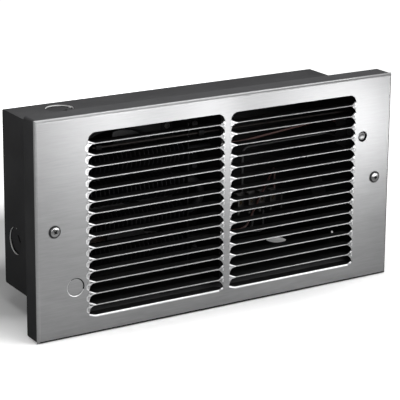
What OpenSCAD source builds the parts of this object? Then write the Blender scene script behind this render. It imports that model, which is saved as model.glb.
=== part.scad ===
// Recessed fan-forced wall heater: a painted can, a surround and a louvred face plate,
// with an axial fan, a finned element and a manual-reset cut-out inside.
// X runs to the right, Y into the wall and Z up. The origin is in the wall's surface,
// at the middle of the can.

/* [Face plate] */
// Distance that the face plate reaches past the can at each side
plate_over_x = 23; // [21:0.5:38]
// Distance that the face plate is higher than the can, halved
plate_over_z = 20; // [17:0.5:28]
// Thickness of the face plate
plate_t = 1; // [0.8:0.1:1.4]
// Outside radius of the rolled edge
edge_r = 3; // [2.5:0.1:4]
// Distance of the plate's middle below the can's middle
plate_drop = 3; // [0:0.5:5]

/* [Louvres] */
// Distance from one louvre to the next
louvre_pitch = 11.77; // [11:0.01:11.9]
// Height that the rows of louvres may have beyond the can's height
field_over = 8; // [5:0.5:9]
// Distance from the can's left side to the louvres
field_left_in = 33.1; // [31:0.1:40]
// Distance from the louvres to the can's right side
field_right_in = 23.1; // [22:0.1:32]
// Flat strip left between two louvres
strip_h = 0.9; // [0.8:0.1:2]
// Width of the divider between the columns
divider_w = 7; // [5:0.5:12]
// Corner radius of a louvre's free edge
louvre_r = 7; // [3:0.5:8]
// Outside radius of a louvre's bend
bend_r = 2; // [1.6:0.1:3]
// Gap where a louvre was cut at its ends
lance_gap = 0.3; // [0.2:0.05:0.6]

/* [Details of the face] */
// Diameter of a face screw's head
face_head_d = 12.7; // [10:0.1:13]
// Height of a face screw's head
face_head_h = 2.4; // [1.5:0.1:3]
// Shank diameter of the face screws
face_screw_d = 4; // [3:0.1:4.5]
// Length of a face screw under its head
face_screw_l = 10; // [6:0.5:14]
// Diameter of the hole for the reset button
reset_hole_d = 11.4; // [10:0.1:14]
// Height of the reset button above the can's middle
reset_z = 43.8; // [20:0.1:60]
// Distance of the reset button inside the can's side
reset_inset = 13.5; // [13:0.1:16]
// Diameter of the knockout for a control knob
knob_ko_d = 17.2; // [12:0.1:22]
// Distance of that knockout from the plate's left edge
knob_ko_x = 41.5; // [36:0.5:42]
// Height of that knockout above the plate's lower edge
knob_ko_z = 51.7; // [25:0.1:120]
// Depth that a knockout disc is sheared out of its sheet
shear_depth = 0.45; // [0.3:0.05:0.7]

/* [Surround] */
// Distance that the surround stands off the wall
surround_depth = 21; // [18:0.5:28]
// Thickness of the surround's sheet
surround_t = 1.2; // [1:0.1:1.5]
// Width of the surround's front lip, above and below
front_lip_w = 14; // [8:0.5:14]
// Width of the surround's lip on the wall
back_lip_w = 5; // [3:0.5:6]

/* [Wall can] */
// Width of the can
can_w = 374; // [366:1:378]
// Height of the can
can_h = 184; // [180:1:192]
// Depth of the can behind the wall's surface
can_depth = 98; // [97:0.5:110]
// Thickness of the can's sheet
can_t = 1.2; // [1:0.1:1.5]
// Radius of the can's folded corners
can_corner_r = 2; // [1.6:0.1:3]
// Diameter of the holes for the screws into the studs
stud_hole_d = 5.5; // [4:0.1:7]
// Depth of those holes behind the wall's surface
stud_hole_y = 44; // [20:1:50]
// Distance of those holes from the can's top and bottom
stud_hole_edge = 7; // [5:0.5:20]
// Diameter of the conduit knockouts
conduit_d = 28.2; // [20:0.1:30]
// Depth of the conduit knockouts behind the wall's surface
conduit_y = 72; // [55:1:76]
// Distance of the side knockouts below the can's middle
conduit_drop = 40; // [20:1:60]
// Distance of the top knockout from the can's left side
conduit_x = 51; // [40:1:90]
// Diameter of the open knockout for the supply
supply_hole_d = 22.2; // [18:0.1:28]
// Distance of the supply's knockout from the can's right side
supply_x = 57; // [45:1:75]

/* [Chassis] */
// Thickness of the chassis sheets
pan_t = 1.2; // [1:0.1:1.5]
// Distance from the chassis pan's edge to the can's wall
pan_margin = 4; // [2:0.5:8]
// Height of the chassis pan's folded rims
pan_rim = 10; // [6:0.5:14]
// Depth of the fan deck's front behind the wall's surface
deck_y = 36; // [35:0.5:38]
// Diameter of the posts that carry the deck
post_d = 9; // [7:0.5:10]
// Distance of the partition's front from the louvre blades
partition_gap = 2.5; // [1:0.5:6]

/* [Fan and motor] */
// Diameter of the fan
fan_d = 140; // [110:1:150]
// Blades of the fan
fan_blades = 5; // [3:1:6]
// Pitch of the blades in degrees
blade_pitch = 20; // [12:1:21]
// Gap between the fan's tips and its orifice
tip_gap = 3; // [2:0.5:5]
// Diameter of the motor's shaft
shaft_d = 6; // [5:0.1:7]
// Diameter of the motor's rotor
rotor_d = 25.2; // [22:0.1:27]
// Air gap round the rotor
air_gap = 0.4; // [0.3:0.05:0.6]
// Width of the stator's laminations
stack_w = 62; // [56:0.5:66]
// Thickness of the lamination stack
stack_t = 20; // [16:0.5:20]
// Thickness of the winding round its core
coil_t = 6; // [4:0.5:7]

/* [Element] */
// Diameter of the element's sheath
sheath_d = 8; // [6:0.1:9]
// Diameter of the fins
fin_d = 26; // [20:0.5:28]
// Distance from one fin to the next
fin_pitch = 5; // [4:0.1:8]
// Thickness of a fin
fin_t = 0.5; // [0.4:0.05:1]
// Distance from one pass of the element to the next
pass_pitch = 32; // [29:0.5:34]
// Depth of the element behind the wall's surface
element_y = 12; // [11:0.5:13]

/* [Hidden] */
$fn = 64;

dark_paint = [0.17, 0.17, 0.18];
stainless = [0.74, 0.74, 0.75];
zinc = [0.66, 0.67, 0.66];
bare_steel = [0.55, 0.56, 0.57];

// Clearances shared by the pieces
seat_gap = 0.1;
thread_gap = 0.1;
hole_gap = 0.6;
small_head_d = 6;
small_head_h = 1.6;
running_gap = 0.04;
side_gap = 1.2;

// Size of the plate, and planes from the front to the back
plate_w = can_w + 2 * plate_over_x;
plate_h = can_h + 2 * plate_over_z;
lip_y = -surround_depth;
front_y = lip_y - edge_r;
plate_back_y = front_y + plate_t;
ear_y = lip_y + surround_t;
floor_y = can_depth - can_t;
pan_y = floor_y - seat_gap - pan_t;
plate_z = -plate_drop;
blade_end_y = front_y + bend_r + louvre_pitch - strip_h - (bend_r - plate_t / 2) * PI / 2;

// Inside faces of the can
in_x = can_w / 2 - can_t;
in_z = can_h / 2 - can_t;

// Ears, lips and the screws that join them
flange_gap = 2;
flange_y = blade_end_y + 1;
flange_x = can_w / 2 - 3 * can_corner_r;
ear_end = plate_w / 2 - back_lip_w - flange_gap;
lip_clear = 9;
lip_in_x = can_w / 2 + lip_clear;
surround_screw_d = 3;
surround_head_d = 5.6;
surround_head_h = 1.6;
surround_screw_x = (lip_in_x + ear_end) / 2;
surround_screw_drop = 28;
surround_screw_z = can_h / 2 - surround_screw_drop;
ear_trim = 2;
face_screw_x = can_w / 2 + face_screw_d / 2 + 1.5;

// Two columns of louvres, the outlet on the left and the intake on the right
louvre_rows = floor((can_h + field_over) / louvre_pitch);
louvre_h = louvre_pitch - strip_h;
louvre_w = (can_w - field_left_in - field_right_in - divider_w) / 2;
field_h = louvre_rows * louvre_pitch - strip_h;
field_low = plate_z - field_h / 2;
outlet_left = field_left_in - can_w / 2;
intake_left = outlet_left + louvre_w + divider_w;
partition_x = intake_left - divider_w / 2;

// Reset button and cut-out
reset_x = can_w / 2 - reset_inset;
reset_travel = 1.8;
cap_d = reset_hole_d - 2.2;
cap_y = plate_back_y + 0.4;
cap_h = 4;
stem_d = 4;
stem_in = 10.6;
bushing_d = 10;
bushing_h = 4.4;
limit_plate_y = cap_y + cap_h + reset_travel + 0.7 + bushing_h - pan_t - seat_gap;
limit_y = limit_plate_y + pan_t + seat_gap;
limit_w = 20;
limit_h = 34;
limit_d = 22;
limit_foot_l = 36;
rivet_d = 3.2;
rivet_head_d = 6;
rivet_head_h = 1.2;
rivet_spread = 20;

// Fan deck, fan and motor
deck_back_y = deck_y + pan_t;
deck_left = -in_x + side_gap;
deck_z = in_z - side_gap;
fan_x = (deck_left + partition_x) / 2;
orifice_r = fan_d / 2 + tip_gap;
collar_l = 12;
collar_t = 1.2;
fan_y = deck_back_y + 10.8;
blade_t = 1;
spider_r = 18;
spider_t = 1.2;
hub_r = 7;
hub_spigot_r = 4.5;
hub_y = fan_y + spider_t / 2;
hub_l = 7.4;
partition_foot = 8;
post_in = 12.6;
post_x = [deck_left + post_in, partition_x - partition_foot - post_in];
post_z = deck_z - 9;
stack_y = pan_y - 29.5;
stack_back_y = stack_y + stack_t;
bar_t = 3;
bridge_h = 6;
front_bar_y = stack_y - bridge_h;
boss_r = 8;
bush_r = 5;
bush_l = 6;
front_boss_y = front_bar_y - 2.3;
rear_bar_y = stack_back_y + bridge_h - bar_t;
rear_boss_y = rear_bar_y + bar_t + 2;
shaft_front_y = fan_y - blade_t * 5;
shaft_back_y = rear_boss_y - 1;
bolt_r = 1.5;
bolt_x = 23;
bar_x = bolt_x + 5;
mount_y = rear_bar_y + bar_t + seat_gap;
mount_x = stack_w / 2 + 2;
mount_foot = 15;
mount_h = 18;
core_h = 10;
core_z = -56;
window_z = -22;
leg_w = 10;
stack_top = rotor_d / 2 + 11;

// Element
pass_z = [for (i = [0 : 3]) (i - 1.5) * pass_pitch];
bend_left = outlet_left + 8;
bend_right = partition_x - pass_pitch / 2 - sheath_d / 2 - 6.4;
hanger_t = 1;
fins_left = bend_left + 8;
fins_right = bend_right - 8;
fin_count = floor((fins_right - fins_left) / fin_pitch) + 1;
hanger_left_x = bend_left + 4;
hanger_right_x = bend_right - 4;
hanger_gap = 0.3;
hanger_end_gap = 11.6;
hanger_foot_h = 18;
hanger_z = deck_z - hanger_end_gap;
hanger_foot_z = hanger_z - hanger_foot_h / 2;
hanger_foot_w = 12;
hanger_front_y = element_y - sheath_d / 2 - 5;
sheath_end_x = partition_x + 9;
insulator_l = 6;
pin_d = 3.2;
pin_l = 10;
pin_in = 5.5;

// Supply side
block_x = in_x - 77.8;
block_z = 46.8 - in_z;
block_w = 58;
block_h = 22;
block_d = 24;
block_poles = 4;
supply_hole_x = can_w / 2 - supply_x;
clamp_x = partition_x + 55;
clamp_z = 28.8 - in_z;
cable_r = 5.5;
ground_x = partition_x + 37;
ground_z = 56.8 - in_z;
lead_r = 1.1;
capillary_r = 1.1;
capillary_z = hanger_foot_z + 1;
capillary_y = blade_end_y + 5;

// Plate from one depth to another, drawn in X and Z
module plate_y(from, to) {
    translate([0, to, 0])
        rotate([90, 0, 0])
            linear_extrude(to - from) children();
}

// Plate from one X to another, drawn in Y and Z
module plate_x(from, to) {
    translate([from, 0, 0])
        rotate([90, 0, 90])
            linear_extrude(to - from) children();
}

// Plate from one height to another, drawn in X and Y
module plate_z_from(from, to) {
    translate([0, 0, from])
        linear_extrude(to - from) children();
}

// Block between two corners
module block(low, high) {
    translate(low) cube(high - low);
}

// Round bar along Y
module bar_y(r, from, to) {
    plate_y(from, to) circle(r);
}

// Ring along Y
module ring_y(outer, inner, from, to) {
    plate_y(from, to) difference() {
        circle(outer);
        circle(inner);
    }
}

// Rectangle with round corners, about the origin
module round_rect(w, h, r) {
    square([w - 2 * r, h], center = true);
    square([w, h - 2 * r], center = true);
    for (x = [-1, 1], y = [-1, 1])
        translate([x * (w / 2 - r), y * (h / 2 - r)]) circle(r);
}

// Straight lower edge and two round upper corners, from the lower left corner
module d_shape(w, h, r) {
    square([w, h - r]);
    translate([r, 0]) square([w - 2 * r, h]);
    for (x = [r, w - r])
        translate([x, h - r]) circle(r);
}

// Quarter of a ring in the first quadrant
module quarter_ring(outer, inner) {
    intersection() {
        difference() {
            circle(outer);
            circle(inner);
        }
        square(outer);
    }
}

// Domed head with a cross recess, facing the front, with its seat at y = 0
module cross_head(d, h) {
    dome_r = (d * d / 4 + h * h) / (2 * h);
    slot_w = d * 0.13;
    slot_l = d * 0.5;
    slot_depth = h * 0.6;
    difference() {
        intersection() {
            translate([0, dome_r - h, 0]) sphere(dome_r);
            bar_y(d / 2, -h, 0);
        }
        for (a = [0, 90])
            rotate([0, a, 0])
                block([-slot_l / 2, -h - 1, -slot_w / 2], [slot_l / 2, slot_depth - h, slot_w / 2]);
    }
}

// Screw into the wall's direction, with its head's seat at y = 0
module screw(head_d, head_h, shank_d, length) {
    cross_head(head_d, head_h);
    bar_y(shank_d / 2, 0, length);
}

// Path of a wire: its corners are bent, and each of its rings is turned as little as it can be
function unit(v) = v / norm(v);
function bent_corner(a, b, c, r) = let (from = b + r * unit(a - b), to = b + r * unit(c - b))
    [for (t = [0 : 0.2 : 1]) (1 - t) * (1 - t) * from + 2 * t * (1 - t) * b + t * t * to];
function bent_path(points, r) = [
    points[0],
    for (i = [1 : len(points) - 2]) each bent_corner(points[i - 1], points[i], points[i + 1], r),
    points[len(points) - 1]];
function tangents(path) = [for (i = [0 : len(path) - 1])
    unit(path[min(i + 1, len(path) - 1)] - path[max(i - 1, 0)])];
function any_side(t) = unit(cross(t, abs(t[2]) < 0.9 ? [0, 0, 1] : [1, 0, 0]));
function carried_side(side, t) = unit(side - (side * t) * t);
function sides(dirs) = [for (i = 0, side = any_side(dirs[0]); i < len(dirs);
    i = i + 1, side = carried_side(side, dirs[min(i, len(dirs) - 1)])) side];

// Wire along a path whose corners are bent to a radius
module wire(points, r, bend) {
    facets = 8;
    path = bent_path(points, bend);
    dirs = tangents(path);
    side = sides(dirs);
    last = len(path) - 1;
    rings = [for (i = [0 : last], k = [0 : facets - 1])
        path[i] + r * (cos(k * 360 / facets) * side[i] + sin(k * 360 / facets) * cross(dirs[i], side[i]))];
    skin = [for (i = [0 : last - 1], k = [0 : facets - 1])
        let (a = i * facets + k, b = i * facets + (k + 1) % facets)
            each [[a, a + facets, b], [b, a + facets, b + facets]]];
    start = [for (k = [1 : facets - 2]) [0, k, k + 1]];
    end = [for (k = [1 : facets - 2]) [last * facets, last * facets + k + 1, last * facets + k]];
    polyhedron(rings, concat(start, skin, end));
}

// Places on the can's outside, facing out: on both ends, on the top and on the bottom
module end_places(y, z) {
    translate([-can_w / 2, y, z]) rotate([0, -90, 0]) children();
    translate([can_w / 2, y, z]) rotate([0, 90, 0]) children();
}

module on_top(x, y) {
    translate([x, y, can_h / 2]) children();
}

module on_bottom(x, y) {
    translate([x, y, -can_h / 2]) rotate([180, 0, 0]) children();
}

// Knockout: a hole with its disc sheared half out of the sheet, towards the inside
module knockout_hole() {
    translate([0, 0, -can_t - 1]) cylinder(d = conduit_d, h = can_t + 2);
}

module knockout_disc() {
    translate([0, 0, -can_t - shear_depth]) cylinder(d = conduit_d, h = can_t);
}

// Outline of the can in Y and Z, from a plane at the front to its rounded back corners
module can_side(front, inset) {
    corner = can_corner_r - inset;
    back = can_depth - inset;
    half = can_h / 2 - inset;
    translate([front, -half]) square([back - corner - front, 2 * half]);
    translate([front, corner - half]) square([back - front, 2 * (half - corner)]);
    for (z = [corner - half, half - corner])
        translate([back - corner, z]) circle(corner);
}

// Wrap of the can: its top, back and bottom, with a flange at the front of the top and bottom
module can_wrap() color(dark_paint) {
    flange_h = plate_h - 2 * (back_lip_w + flange_gap);
    difference() {
        plate_x(-in_x, in_x) {
            difference() {
                can_side(flange_y, 0);
                can_side(flange_y - 1, can_t);
            }
            difference() {
                translate([flange_y, plate_z - flange_h / 2]) square([can_t, flange_h]);
                translate([flange_y - 1, -in_z]) square([can_t + 2, 2 * in_z]);
            }
        }
        for (place = [0, 1])
            mirror([0, 0, place]) on_top(-can_w / 2 + conduit_x, conduit_y) knockout_hole();
        on_bottom(supply_hole_x, conduit_y)
            translate([0, 0, -can_t - 1]) cylinder(d = supply_hole_d, h = can_t + 2);
        chassis_screw_places()
            bar_y(chassis_screw_d / 2 + thread_gap, floor_y - 1, can_depth + 1);
    }
    for (place = [0, 1])
        mirror([0, 0, place]) on_top(-can_w / 2 + conduit_x, conduit_y) knockout_disc();
}

// Ends of the can, each with an ear that carries the surround and the face plate
module can_ends() color(dark_paint) {
    ear_h = can_h - 2 * ear_trim;
    difference() {
        for (side = [-1, 1]) {
            plate_x(min(side * in_x, side * can_w / 2), max(side * in_x, side * can_w / 2))
                can_side(ear_y, 0);
            block([min(side * (in_x + can_t / 2), side * ear_end), ear_y, -ear_h / 2],
                [max(side * (in_x + can_t / 2), side * ear_end), ear_y + can_t, ear_h / 2]);
        }
        end_places(conduit_y, -conduit_drop) knockout_hole();
        for (z = [-1, 1])
            end_places(stud_hole_y, z * (can_h / 2 - stud_hole_edge))
                translate([0, 0, -can_t - 1]) cylinder(d = stud_hole_d, h = can_t + 2);
        for (x = [-1, 1])
            translate([x * face_screw_x, 0, plate_z])
                bar_y(face_screw_d / 2 + thread_gap, ear_y - 1, ear_y + can_t + 1);
        surround_screw_places()
            bar_y(surround_screw_d / 2 + thread_gap, ear_y - 1, ear_y + can_t + 1);
        limit_rivet_places()
            rotate([0, 90, 0]) cylinder(d = rivet_d + thread_gap, h = 20, center = true);
    }
    end_places(conduit_y, -conduit_drop) knockout_disc();
}

// Surround
module surround_outline(inset) {
    round_rect(plate_w - 2 * inset, plate_h - 2 * inset, edge_r - inset);
}

module surround_frame() color(dark_paint) difference() {
    translate([0, 0, plate_z]) {
        plate_y(lip_y, 0) difference() {
            surround_outline(0);
            surround_outline(surround_t);
        }
        plate_y(lip_y, ear_y) difference() {
            surround_outline(surround_t / 2);
            square([2 * lip_in_x, plate_h - 2 * front_lip_w], center = true);
        }
        plate_y(-surround_t, 0) difference() {
            surround_outline(surround_t / 2);
            square([plate_w - 2 * back_lip_w, plate_h - 2 * back_lip_w], center = true);
        }
    }
    surround_screw_places()
        bar_y(surround_screw_d / 2 + thread_gap, lip_y - 1, ear_y + 1);
}

module surround_screw_places() {
    for (x = [-1, 1], z = [-1, 1])
        translate([x * surround_screw_x, 0, z * surround_screw_z]) children();
}

module surround_screws() color(zinc)
    surround_screw_places()
        translate([0, lip_y, 0])
            screw(surround_head_d, surround_head_h, surround_screw_d, surround_t + can_t + 3);

// Face plate
module plate_edges() {
    straight_w = plate_w - 2 * edge_r;
    straight_h = plate_h - 2 * edge_r;
    inner_r = edge_r - plate_t;
    plate_y(front_y, plate_back_y) square([straight_w, straight_h], center = true);
    for (side = [-1, 1]) {
        plate_x(-straight_w / 2, straight_w / 2)
            translate([lip_y, side * straight_h / 2])
                mirror([1, 0]) mirror([0, (1 - side) / 2]) quarter_ring(edge_r, inner_r);
        plate_z_from(-straight_h / 2, straight_h / 2)
            translate([side * straight_w / 2, lip_y])
                mirror([0, 1]) mirror([(1 - side) / 2, 0]) quarter_ring(edge_r, inner_r);
    }
    for (x = [-1, 1], z = [-1, 1])
        translate([x * straight_w / 2, lip_y, z * straight_h / 2])
            mirror([(1 - x) / 2, 0, 0]) mirror([0, 0, (1 - z) / 2])
                rotate([90, 0, 0])
                    rotate_extrude(angle = 90) quarter_ring(edge_r, inner_r);
}

module louvre_places() {
    for (column = [outlet_left, intake_left], row = [0 : louvre_rows - 1])
        translate([column, 0, field_low + row * louvre_pitch]) children();
}

// One blade: the bend and the tab that was folded back along its lower edge
module louvre_blade() {
    blade_w = louvre_w - 2 * lance_gap;
    translate([lance_gap, 0, 0]) {
        plate_x(0, blade_w)
            translate([front_y + bend_r, 0])
                mirror([1, 0]) quarter_ring(bend_r, bend_r - plate_t);
        plate_z_from(bend_r - plate_t, bend_r)
            translate([0, front_y + bend_r])
                d_shape(blade_w, blade_end_y - front_y - bend_r, louvre_r);
    }
}

module face_plate() color(stainless) {
    knob_x = -plate_w / 2 + knob_ko_x;
    knob_z = plate_z - plate_h / 2 + knob_ko_z;
    difference() {
        translate([0, 0, plate_z]) plate_edges();
        louvre_places()
            plate_y(front_y - 1, plate_back_y + 1) d_shape(louvre_w, louvre_h, louvre_r);
        for (x = [-1, 1])
            translate([x * face_screw_x, 0, plate_z])
                bar_y(face_screw_d / 2 + hole_gap, front_y - 1, plate_back_y + 1);
        translate([reset_x, 0, reset_z]) bar_y(reset_hole_d / 2, front_y - 1, plate_back_y + 1);
        translate([knob_x, 0, knob_z]) bar_y(knob_ko_d / 2, front_y - 1, plate_back_y + 1);
    }
    louvre_places() louvre_blade();
    translate([knob_x, 0, knob_z])
        bar_y(knob_ko_d / 2, front_y + shear_depth, plate_back_y + shear_depth);
}

module face_screws() color(stainless)
    for (x = [-1, 1])
        translate([x * face_screw_x, front_y, plate_z])
            screw(face_head_d, face_head_h, face_screw_d, face_screw_l);

// Chassis
chassis_screw_d = 3.2;
chassis_head_d = 7;
chassis_head_h = 1.8;

module chassis_screw_places() {
    for (x = [-1, 1], z = [-1, 1])
        translate([x * (in_x - pan_margin - 14), 0, z * (in_z - pan_margin - 16)]) children();
}

module chassis_pan() color(zinc) {
    pan_w = 2 * (in_x - pan_margin);
    pan_h = 2 * (in_z - pan_margin);
    difference() {
        union() {
            plate_y(pan_y, pan_y + pan_t) square([pan_w, pan_h], center = true);
            for (z = [-1, 1])
                translate([0, pan_y + pan_t, z * (pan_h / 2 - pan_t / 2)])
                    block([-pan_w / 2, -pan_rim, -pan_t / 2], [pan_w / 2, 0, pan_t / 2]);
        }
        chassis_screw_places()
            bar_y(chassis_screw_d / 2 + hole_gap / 2, pan_y - 1, pan_y + pan_t + 1);
        post_places()
            bar_y(spigot_r + thread_gap, pan_y - 1, pan_y + pan_t + 1);
        mount_screw_places()
            bar_y(mount_screw_r + thread_gap, pan_y - 1, pan_y + pan_t + 1);
        translate([ground_x, 0, ground_z])
            bar_y(ground_screw_r + thread_gap, pan_y - 1, pan_y + pan_t + 1);
        clamp_screw_places()
            bar_y(clamp_screw_r + thread_gap, pan_y - 1, pan_y + pan_t + 1);
    }
}

module chassis_screws() color(zinc)
    chassis_screw_places()
        translate([0, pan_y, 0])
            screw(chassis_head_d, chassis_head_h, chassis_screw_d, pan_t + seat_gap + can_t);

// Posts and deck
spigot_r = 2.5;
deck_screw_r = 1.5;
deck_screw_l = 8;

module post_places() {
    for (x = post_x, z = [-1, 1])
        translate([x, 0, z * post_z]) children();
}

module deck_posts() color(zinc)
    post_places() difference() {
        union() {
            translate([0, pan_y, 0])
                rotate([90, 0, 0])
                    cylinder(d = post_d, h = pan_y - deck_back_y, $fn = 6);
            bar_y(spigot_r, pan_y, pan_y + pan_t);
        }
        bar_y(deck_screw_r + thread_gap, deck_back_y - 1, deck_back_y + deck_screw_l + 1);
    }

module deck_screws() color(zinc)
    post_places()
        translate([0, deck_y, 0])
            screw(small_head_d, small_head_h, 2 * deck_screw_r, pan_t + deck_screw_l);

module fan_deck() color(zinc) {
    difference() {
        plate_y(deck_y, deck_back_y) difference() {
            translate([deck_left, -deck_z]) square([partition_x + pan_t / 2 - deck_left, 2 * deck_z]);
            translate([fan_x, 0]) circle(orifice_r);
        }
        post_places() bar_y(deck_screw_r + hole_gap / 2, deck_y - 1, deck_back_y + 1);
        partition_rivet_places() bar_y(rivet_d / 2 + thread_gap, deck_y - 1, deck_back_y + 1);
        hanger_screw_places() bar_y(hanger_screw_r + thread_gap, deck_y - 1, deck_back_y + 1);
    }
    translate([fan_x, 0, 0])
        ring_y(orifice_r + collar_t, orifice_r, deck_y, deck_y + collar_l);
}

// Partition between the outlet and the intake
partition_rivets_high = 4;
partition_front_y = blade_end_y + partition_gap;

module partition_rivet_places() {
    for (i = [0 : partition_rivets_high - 1])
        translate([partition_x - partition_foot / 2, 0, (2 * i + 1 - partition_rivets_high) * deck_z / 4])
            children();
}

module air_partition() color(zinc) difference() {
    union() {
        plate_y(partition_front_y, deck_y - seat_gap)
            translate([partition_x, 0]) square([pan_t, 2 * deck_z], center = true);
        plate_y(deck_y - seat_gap - pan_t, deck_y - seat_gap)
            translate([partition_x - partition_foot, -deck_z]) square([partition_foot, 2 * deck_z]);
    }
    partition_rivet_places() bar_y(rivet_d / 2 + thread_gap, deck_y - pan_t - 1, deck_y + 1);
    for (z = [pass_z[0], pass_z[3]])
        translate([partition_x, element_y, z])
            rotate([0, 90, 0]) cylinder(r = sheath_d / 2 + hanger_gap, h = 4 * pan_t, center = true);
    translate([partition_x, capillary_y, capillary_z])
        rotate([0, 90, 0]) cylinder(r = capillary_r + hole_gap, h = 4 * pan_t, center = true);
}

module partition_rivets() color(bare_steel)
    partition_rivet_places() {
        bar_y(rivet_head_d / 2, deck_y - seat_gap - pan_t - rivet_head_h, deck_y - seat_gap - pan_t);
        bar_y(rivet_d / 2, deck_y - seat_gap - pan_t, deck_back_y);
        bar_y(rivet_head_d / 2, deck_back_y, deck_back_y + rivet_head_h);
    }

// Fan
module fan_blade() {
    sector = 44;
    far_x = fan_d * cos(sector / 2);
    far_z = fan_d * sin(sector / 2);
    translate([0, fan_y, 0])
        rotate([blade_pitch, 0, 0])
            plate_y(-blade_t / 2, blade_t / 2) intersection() {
                difference() {
                    circle(fan_d / 2 - 0.5);
                    circle(spider_r - 3);
                }
                polygon([[0, 0], [far_x, -far_z], [far_x, far_z]]);
            }
}

module fan_wheel() color([0.72, 0.73, 0.74])
    translate([fan_x, 0, 0]) {
        for (i = [0 : fan_blades - 1])
            rotate([0, i * 360 / fan_blades, 0]) fan_blade();
        ring_y(spider_r, hub_spigot_r + thread_gap, fan_y - spider_t / 2, fan_y + spider_t / 2);
    }

module fan_hub() color([0.78, 0.66, 0.36])
    translate([fan_x, 0, 0]) difference() {
        union() {
            bar_y(hub_r, hub_y, hub_y + hub_l);
            bar_y(hub_spigot_r, fan_y - spider_t / 2 - 0.6, hub_y);
        }
        bar_y(shaft_d / 2 + running_gap, fan_y - 10, hub_y + hub_l + 1);
        translate([0, hub_y + hub_l / 2, 0]) cylinder(r = 1.5 + thread_gap, h = hub_r + 1);
    }

module hub_screw() color(bare_steel)
    translate([fan_x, hub_y + hub_l / 2, shaft_d / 2 + seat_gap]) difference() {
        cylinder(r = 1.5, h = hub_r - shaft_d / 2 - seat_gap);
        translate([0, 0, 2.6]) cylinder(r = 0.9, h = 3, $fn = 6);
    }

// Motor
module motor_shaft() color(bare_steel)
    translate([fan_x, 0, 0]) bar_y(shaft_d / 2, shaft_front_y, shaft_back_y);

module motor_rotor() color(bare_steel)
    translate([fan_x, 0, 0])
        ring_y(rotor_d / 2, shaft_d / 2 + running_gap, stack_y + 1, stack_back_y - 1);

module motor_stator() color([0.42, 0.43, 0.45])
    translate([fan_x, 0, 0]) plate_y(stack_y, stack_back_y) difference() {
        translate([-stack_w / 2, core_z]) square([stack_w, stack_top - core_z]);
        translate([-stack_w / 2 + leg_w, core_z + core_h])
            square([stack_w - 2 * leg_w, window_z - core_z - core_h]);
        circle(rotor_d / 2 + air_gap);
        for (x = [-bolt_x, bolt_x]) translate([x, 0]) circle(bolt_r + hole_gap / 2);
    }

module motor_coil() color([0.62, 0.32, 0.12])
    translate([fan_x, 0, 0]) {
        coil_w = stack_w - 2 * leg_w - 6;
        difference() {
            block([-coil_w / 2, stack_y - coil_t, core_z - coil_t],
                [coil_w / 2, stack_back_y + coil_t, core_z + core_h + coil_t]);
            block([-coil_w, stack_y - seat_gap, core_z - seat_gap],
                [coil_w, stack_back_y + seat_gap, core_z + core_h + seat_gap]);
        }
    }

// End bracket: a bar on two feet with a boss for its bush, each from one depth to another
module end_bracket(bar, foot, boss) {
    bar_w = 14;
    foot_w = 10;
    corner = 3;
    difference() {
        union() {
            plate_y(bar[0], bar[1]) round_rect(2 * bar_x, bar_w, corner);
            for (x = [-bolt_x, bolt_x])
                translate([x, 0, 0]) plate_y(foot[0], foot[1]) round_rect(foot_w, bar_w, corner);
            bar_y(boss_r, boss[0], boss[1]);
        }
        bar_y(bush_r + running_gap, min(boss[0], bar[0]) - 1, max(boss[1], bar[1]) + 1);
        for (x = [-bolt_x, bolt_x])
            translate([x, 0, 0])
                bar_y(bolt_r + hole_gap / 2, min(foot[0], bar[0]) - 1, max(foot[1], bar[1]) + 1);
    }
}

module motor_front_bracket() color([0.7, 0.7, 0.68])
    translate([fan_x, 0, 0])
        end_bracket([front_bar_y, front_bar_y + bar_t], [front_bar_y, stack_y - seat_gap],
            [front_boss_y, front_bar_y + bar_t + 1]);

module motor_rear_bracket() color([0.7, 0.7, 0.68])
    translate([fan_x, 0, 0])
        end_bracket([rear_bar_y, rear_bar_y + bar_t], [stack_back_y + seat_gap, rear_bar_y + bar_t],
            [rear_bar_y - 1, rear_boss_y]);

module motor_bushes() color([0.6, 0.46, 0.24])
    translate([fan_x, 0, 0]) {
        ring_y(bush_r, shaft_d / 2 + running_gap, front_boss_y + 0.3, front_boss_y + 0.3 + bush_l);
        ring_y(bush_r, shaft_d / 2 + running_gap, rear_boss_y - 0.3 - bush_l, rear_boss_y - 0.3);
    }

module motor_bolts() color(zinc)
    for (x = [-1, 1])
        translate([fan_x + x * bolt_x, front_bar_y, 0])
            screw(small_head_d, small_head_h, 2 * bolt_r, mount_y + pan_t - front_bar_y);

// Bracket behind the motor, a bar with two joggled feet
mount_screw_r = 1.6;
mount_foot_y = pan_y - seat_gap - pan_t;

module mount_screw_places() {
    for (x = [-1, 1])
        translate([fan_x + x * (mount_x + mount_foot / 2), 0, 0]) children();
}

module motor_mount() color(zinc) difference() {
    translate([fan_x, 0, 0]) {
        plate_y(mount_y, mount_y + pan_t) square([2 * mount_x, mount_h], center = true);
        for (x = [-1, 1]) {
            translate([x * (mount_x - pan_t / 2), 0, 0])
                block([-pan_t / 2, mount_y, -mount_h / 2], [pan_t / 2, mount_foot_y + pan_t, mount_h / 2]);
            translate([x * (mount_x + mount_foot / 2 - pan_t / 2), 0, 0])
                plate_y(mount_foot_y, mount_foot_y + pan_t) square([mount_foot, mount_h], center = true);
        }
    }
    translate([fan_x, 0, 0]) {
        bar_y(boss_r + 0.5, mount_y - 1, mount_y + pan_t + 1);
        for (x = [-bolt_x, bolt_x])
            translate([x, 0, 0]) bar_y(bolt_r + thread_gap, mount_y - 1, mount_y + pan_t + 1);
    }
    mount_screw_places() bar_y(mount_screw_r + hole_gap / 2, mount_foot_y - 1, mount_foot_y + pan_t + 1);
}

module motor_mount_screws() color(zinc)
    mount_screw_places()
        translate([0, mount_foot_y, 0])
            screw(small_head_d, small_head_h, 2 * mount_screw_r, 2 * pan_t + seat_gap);

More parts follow.
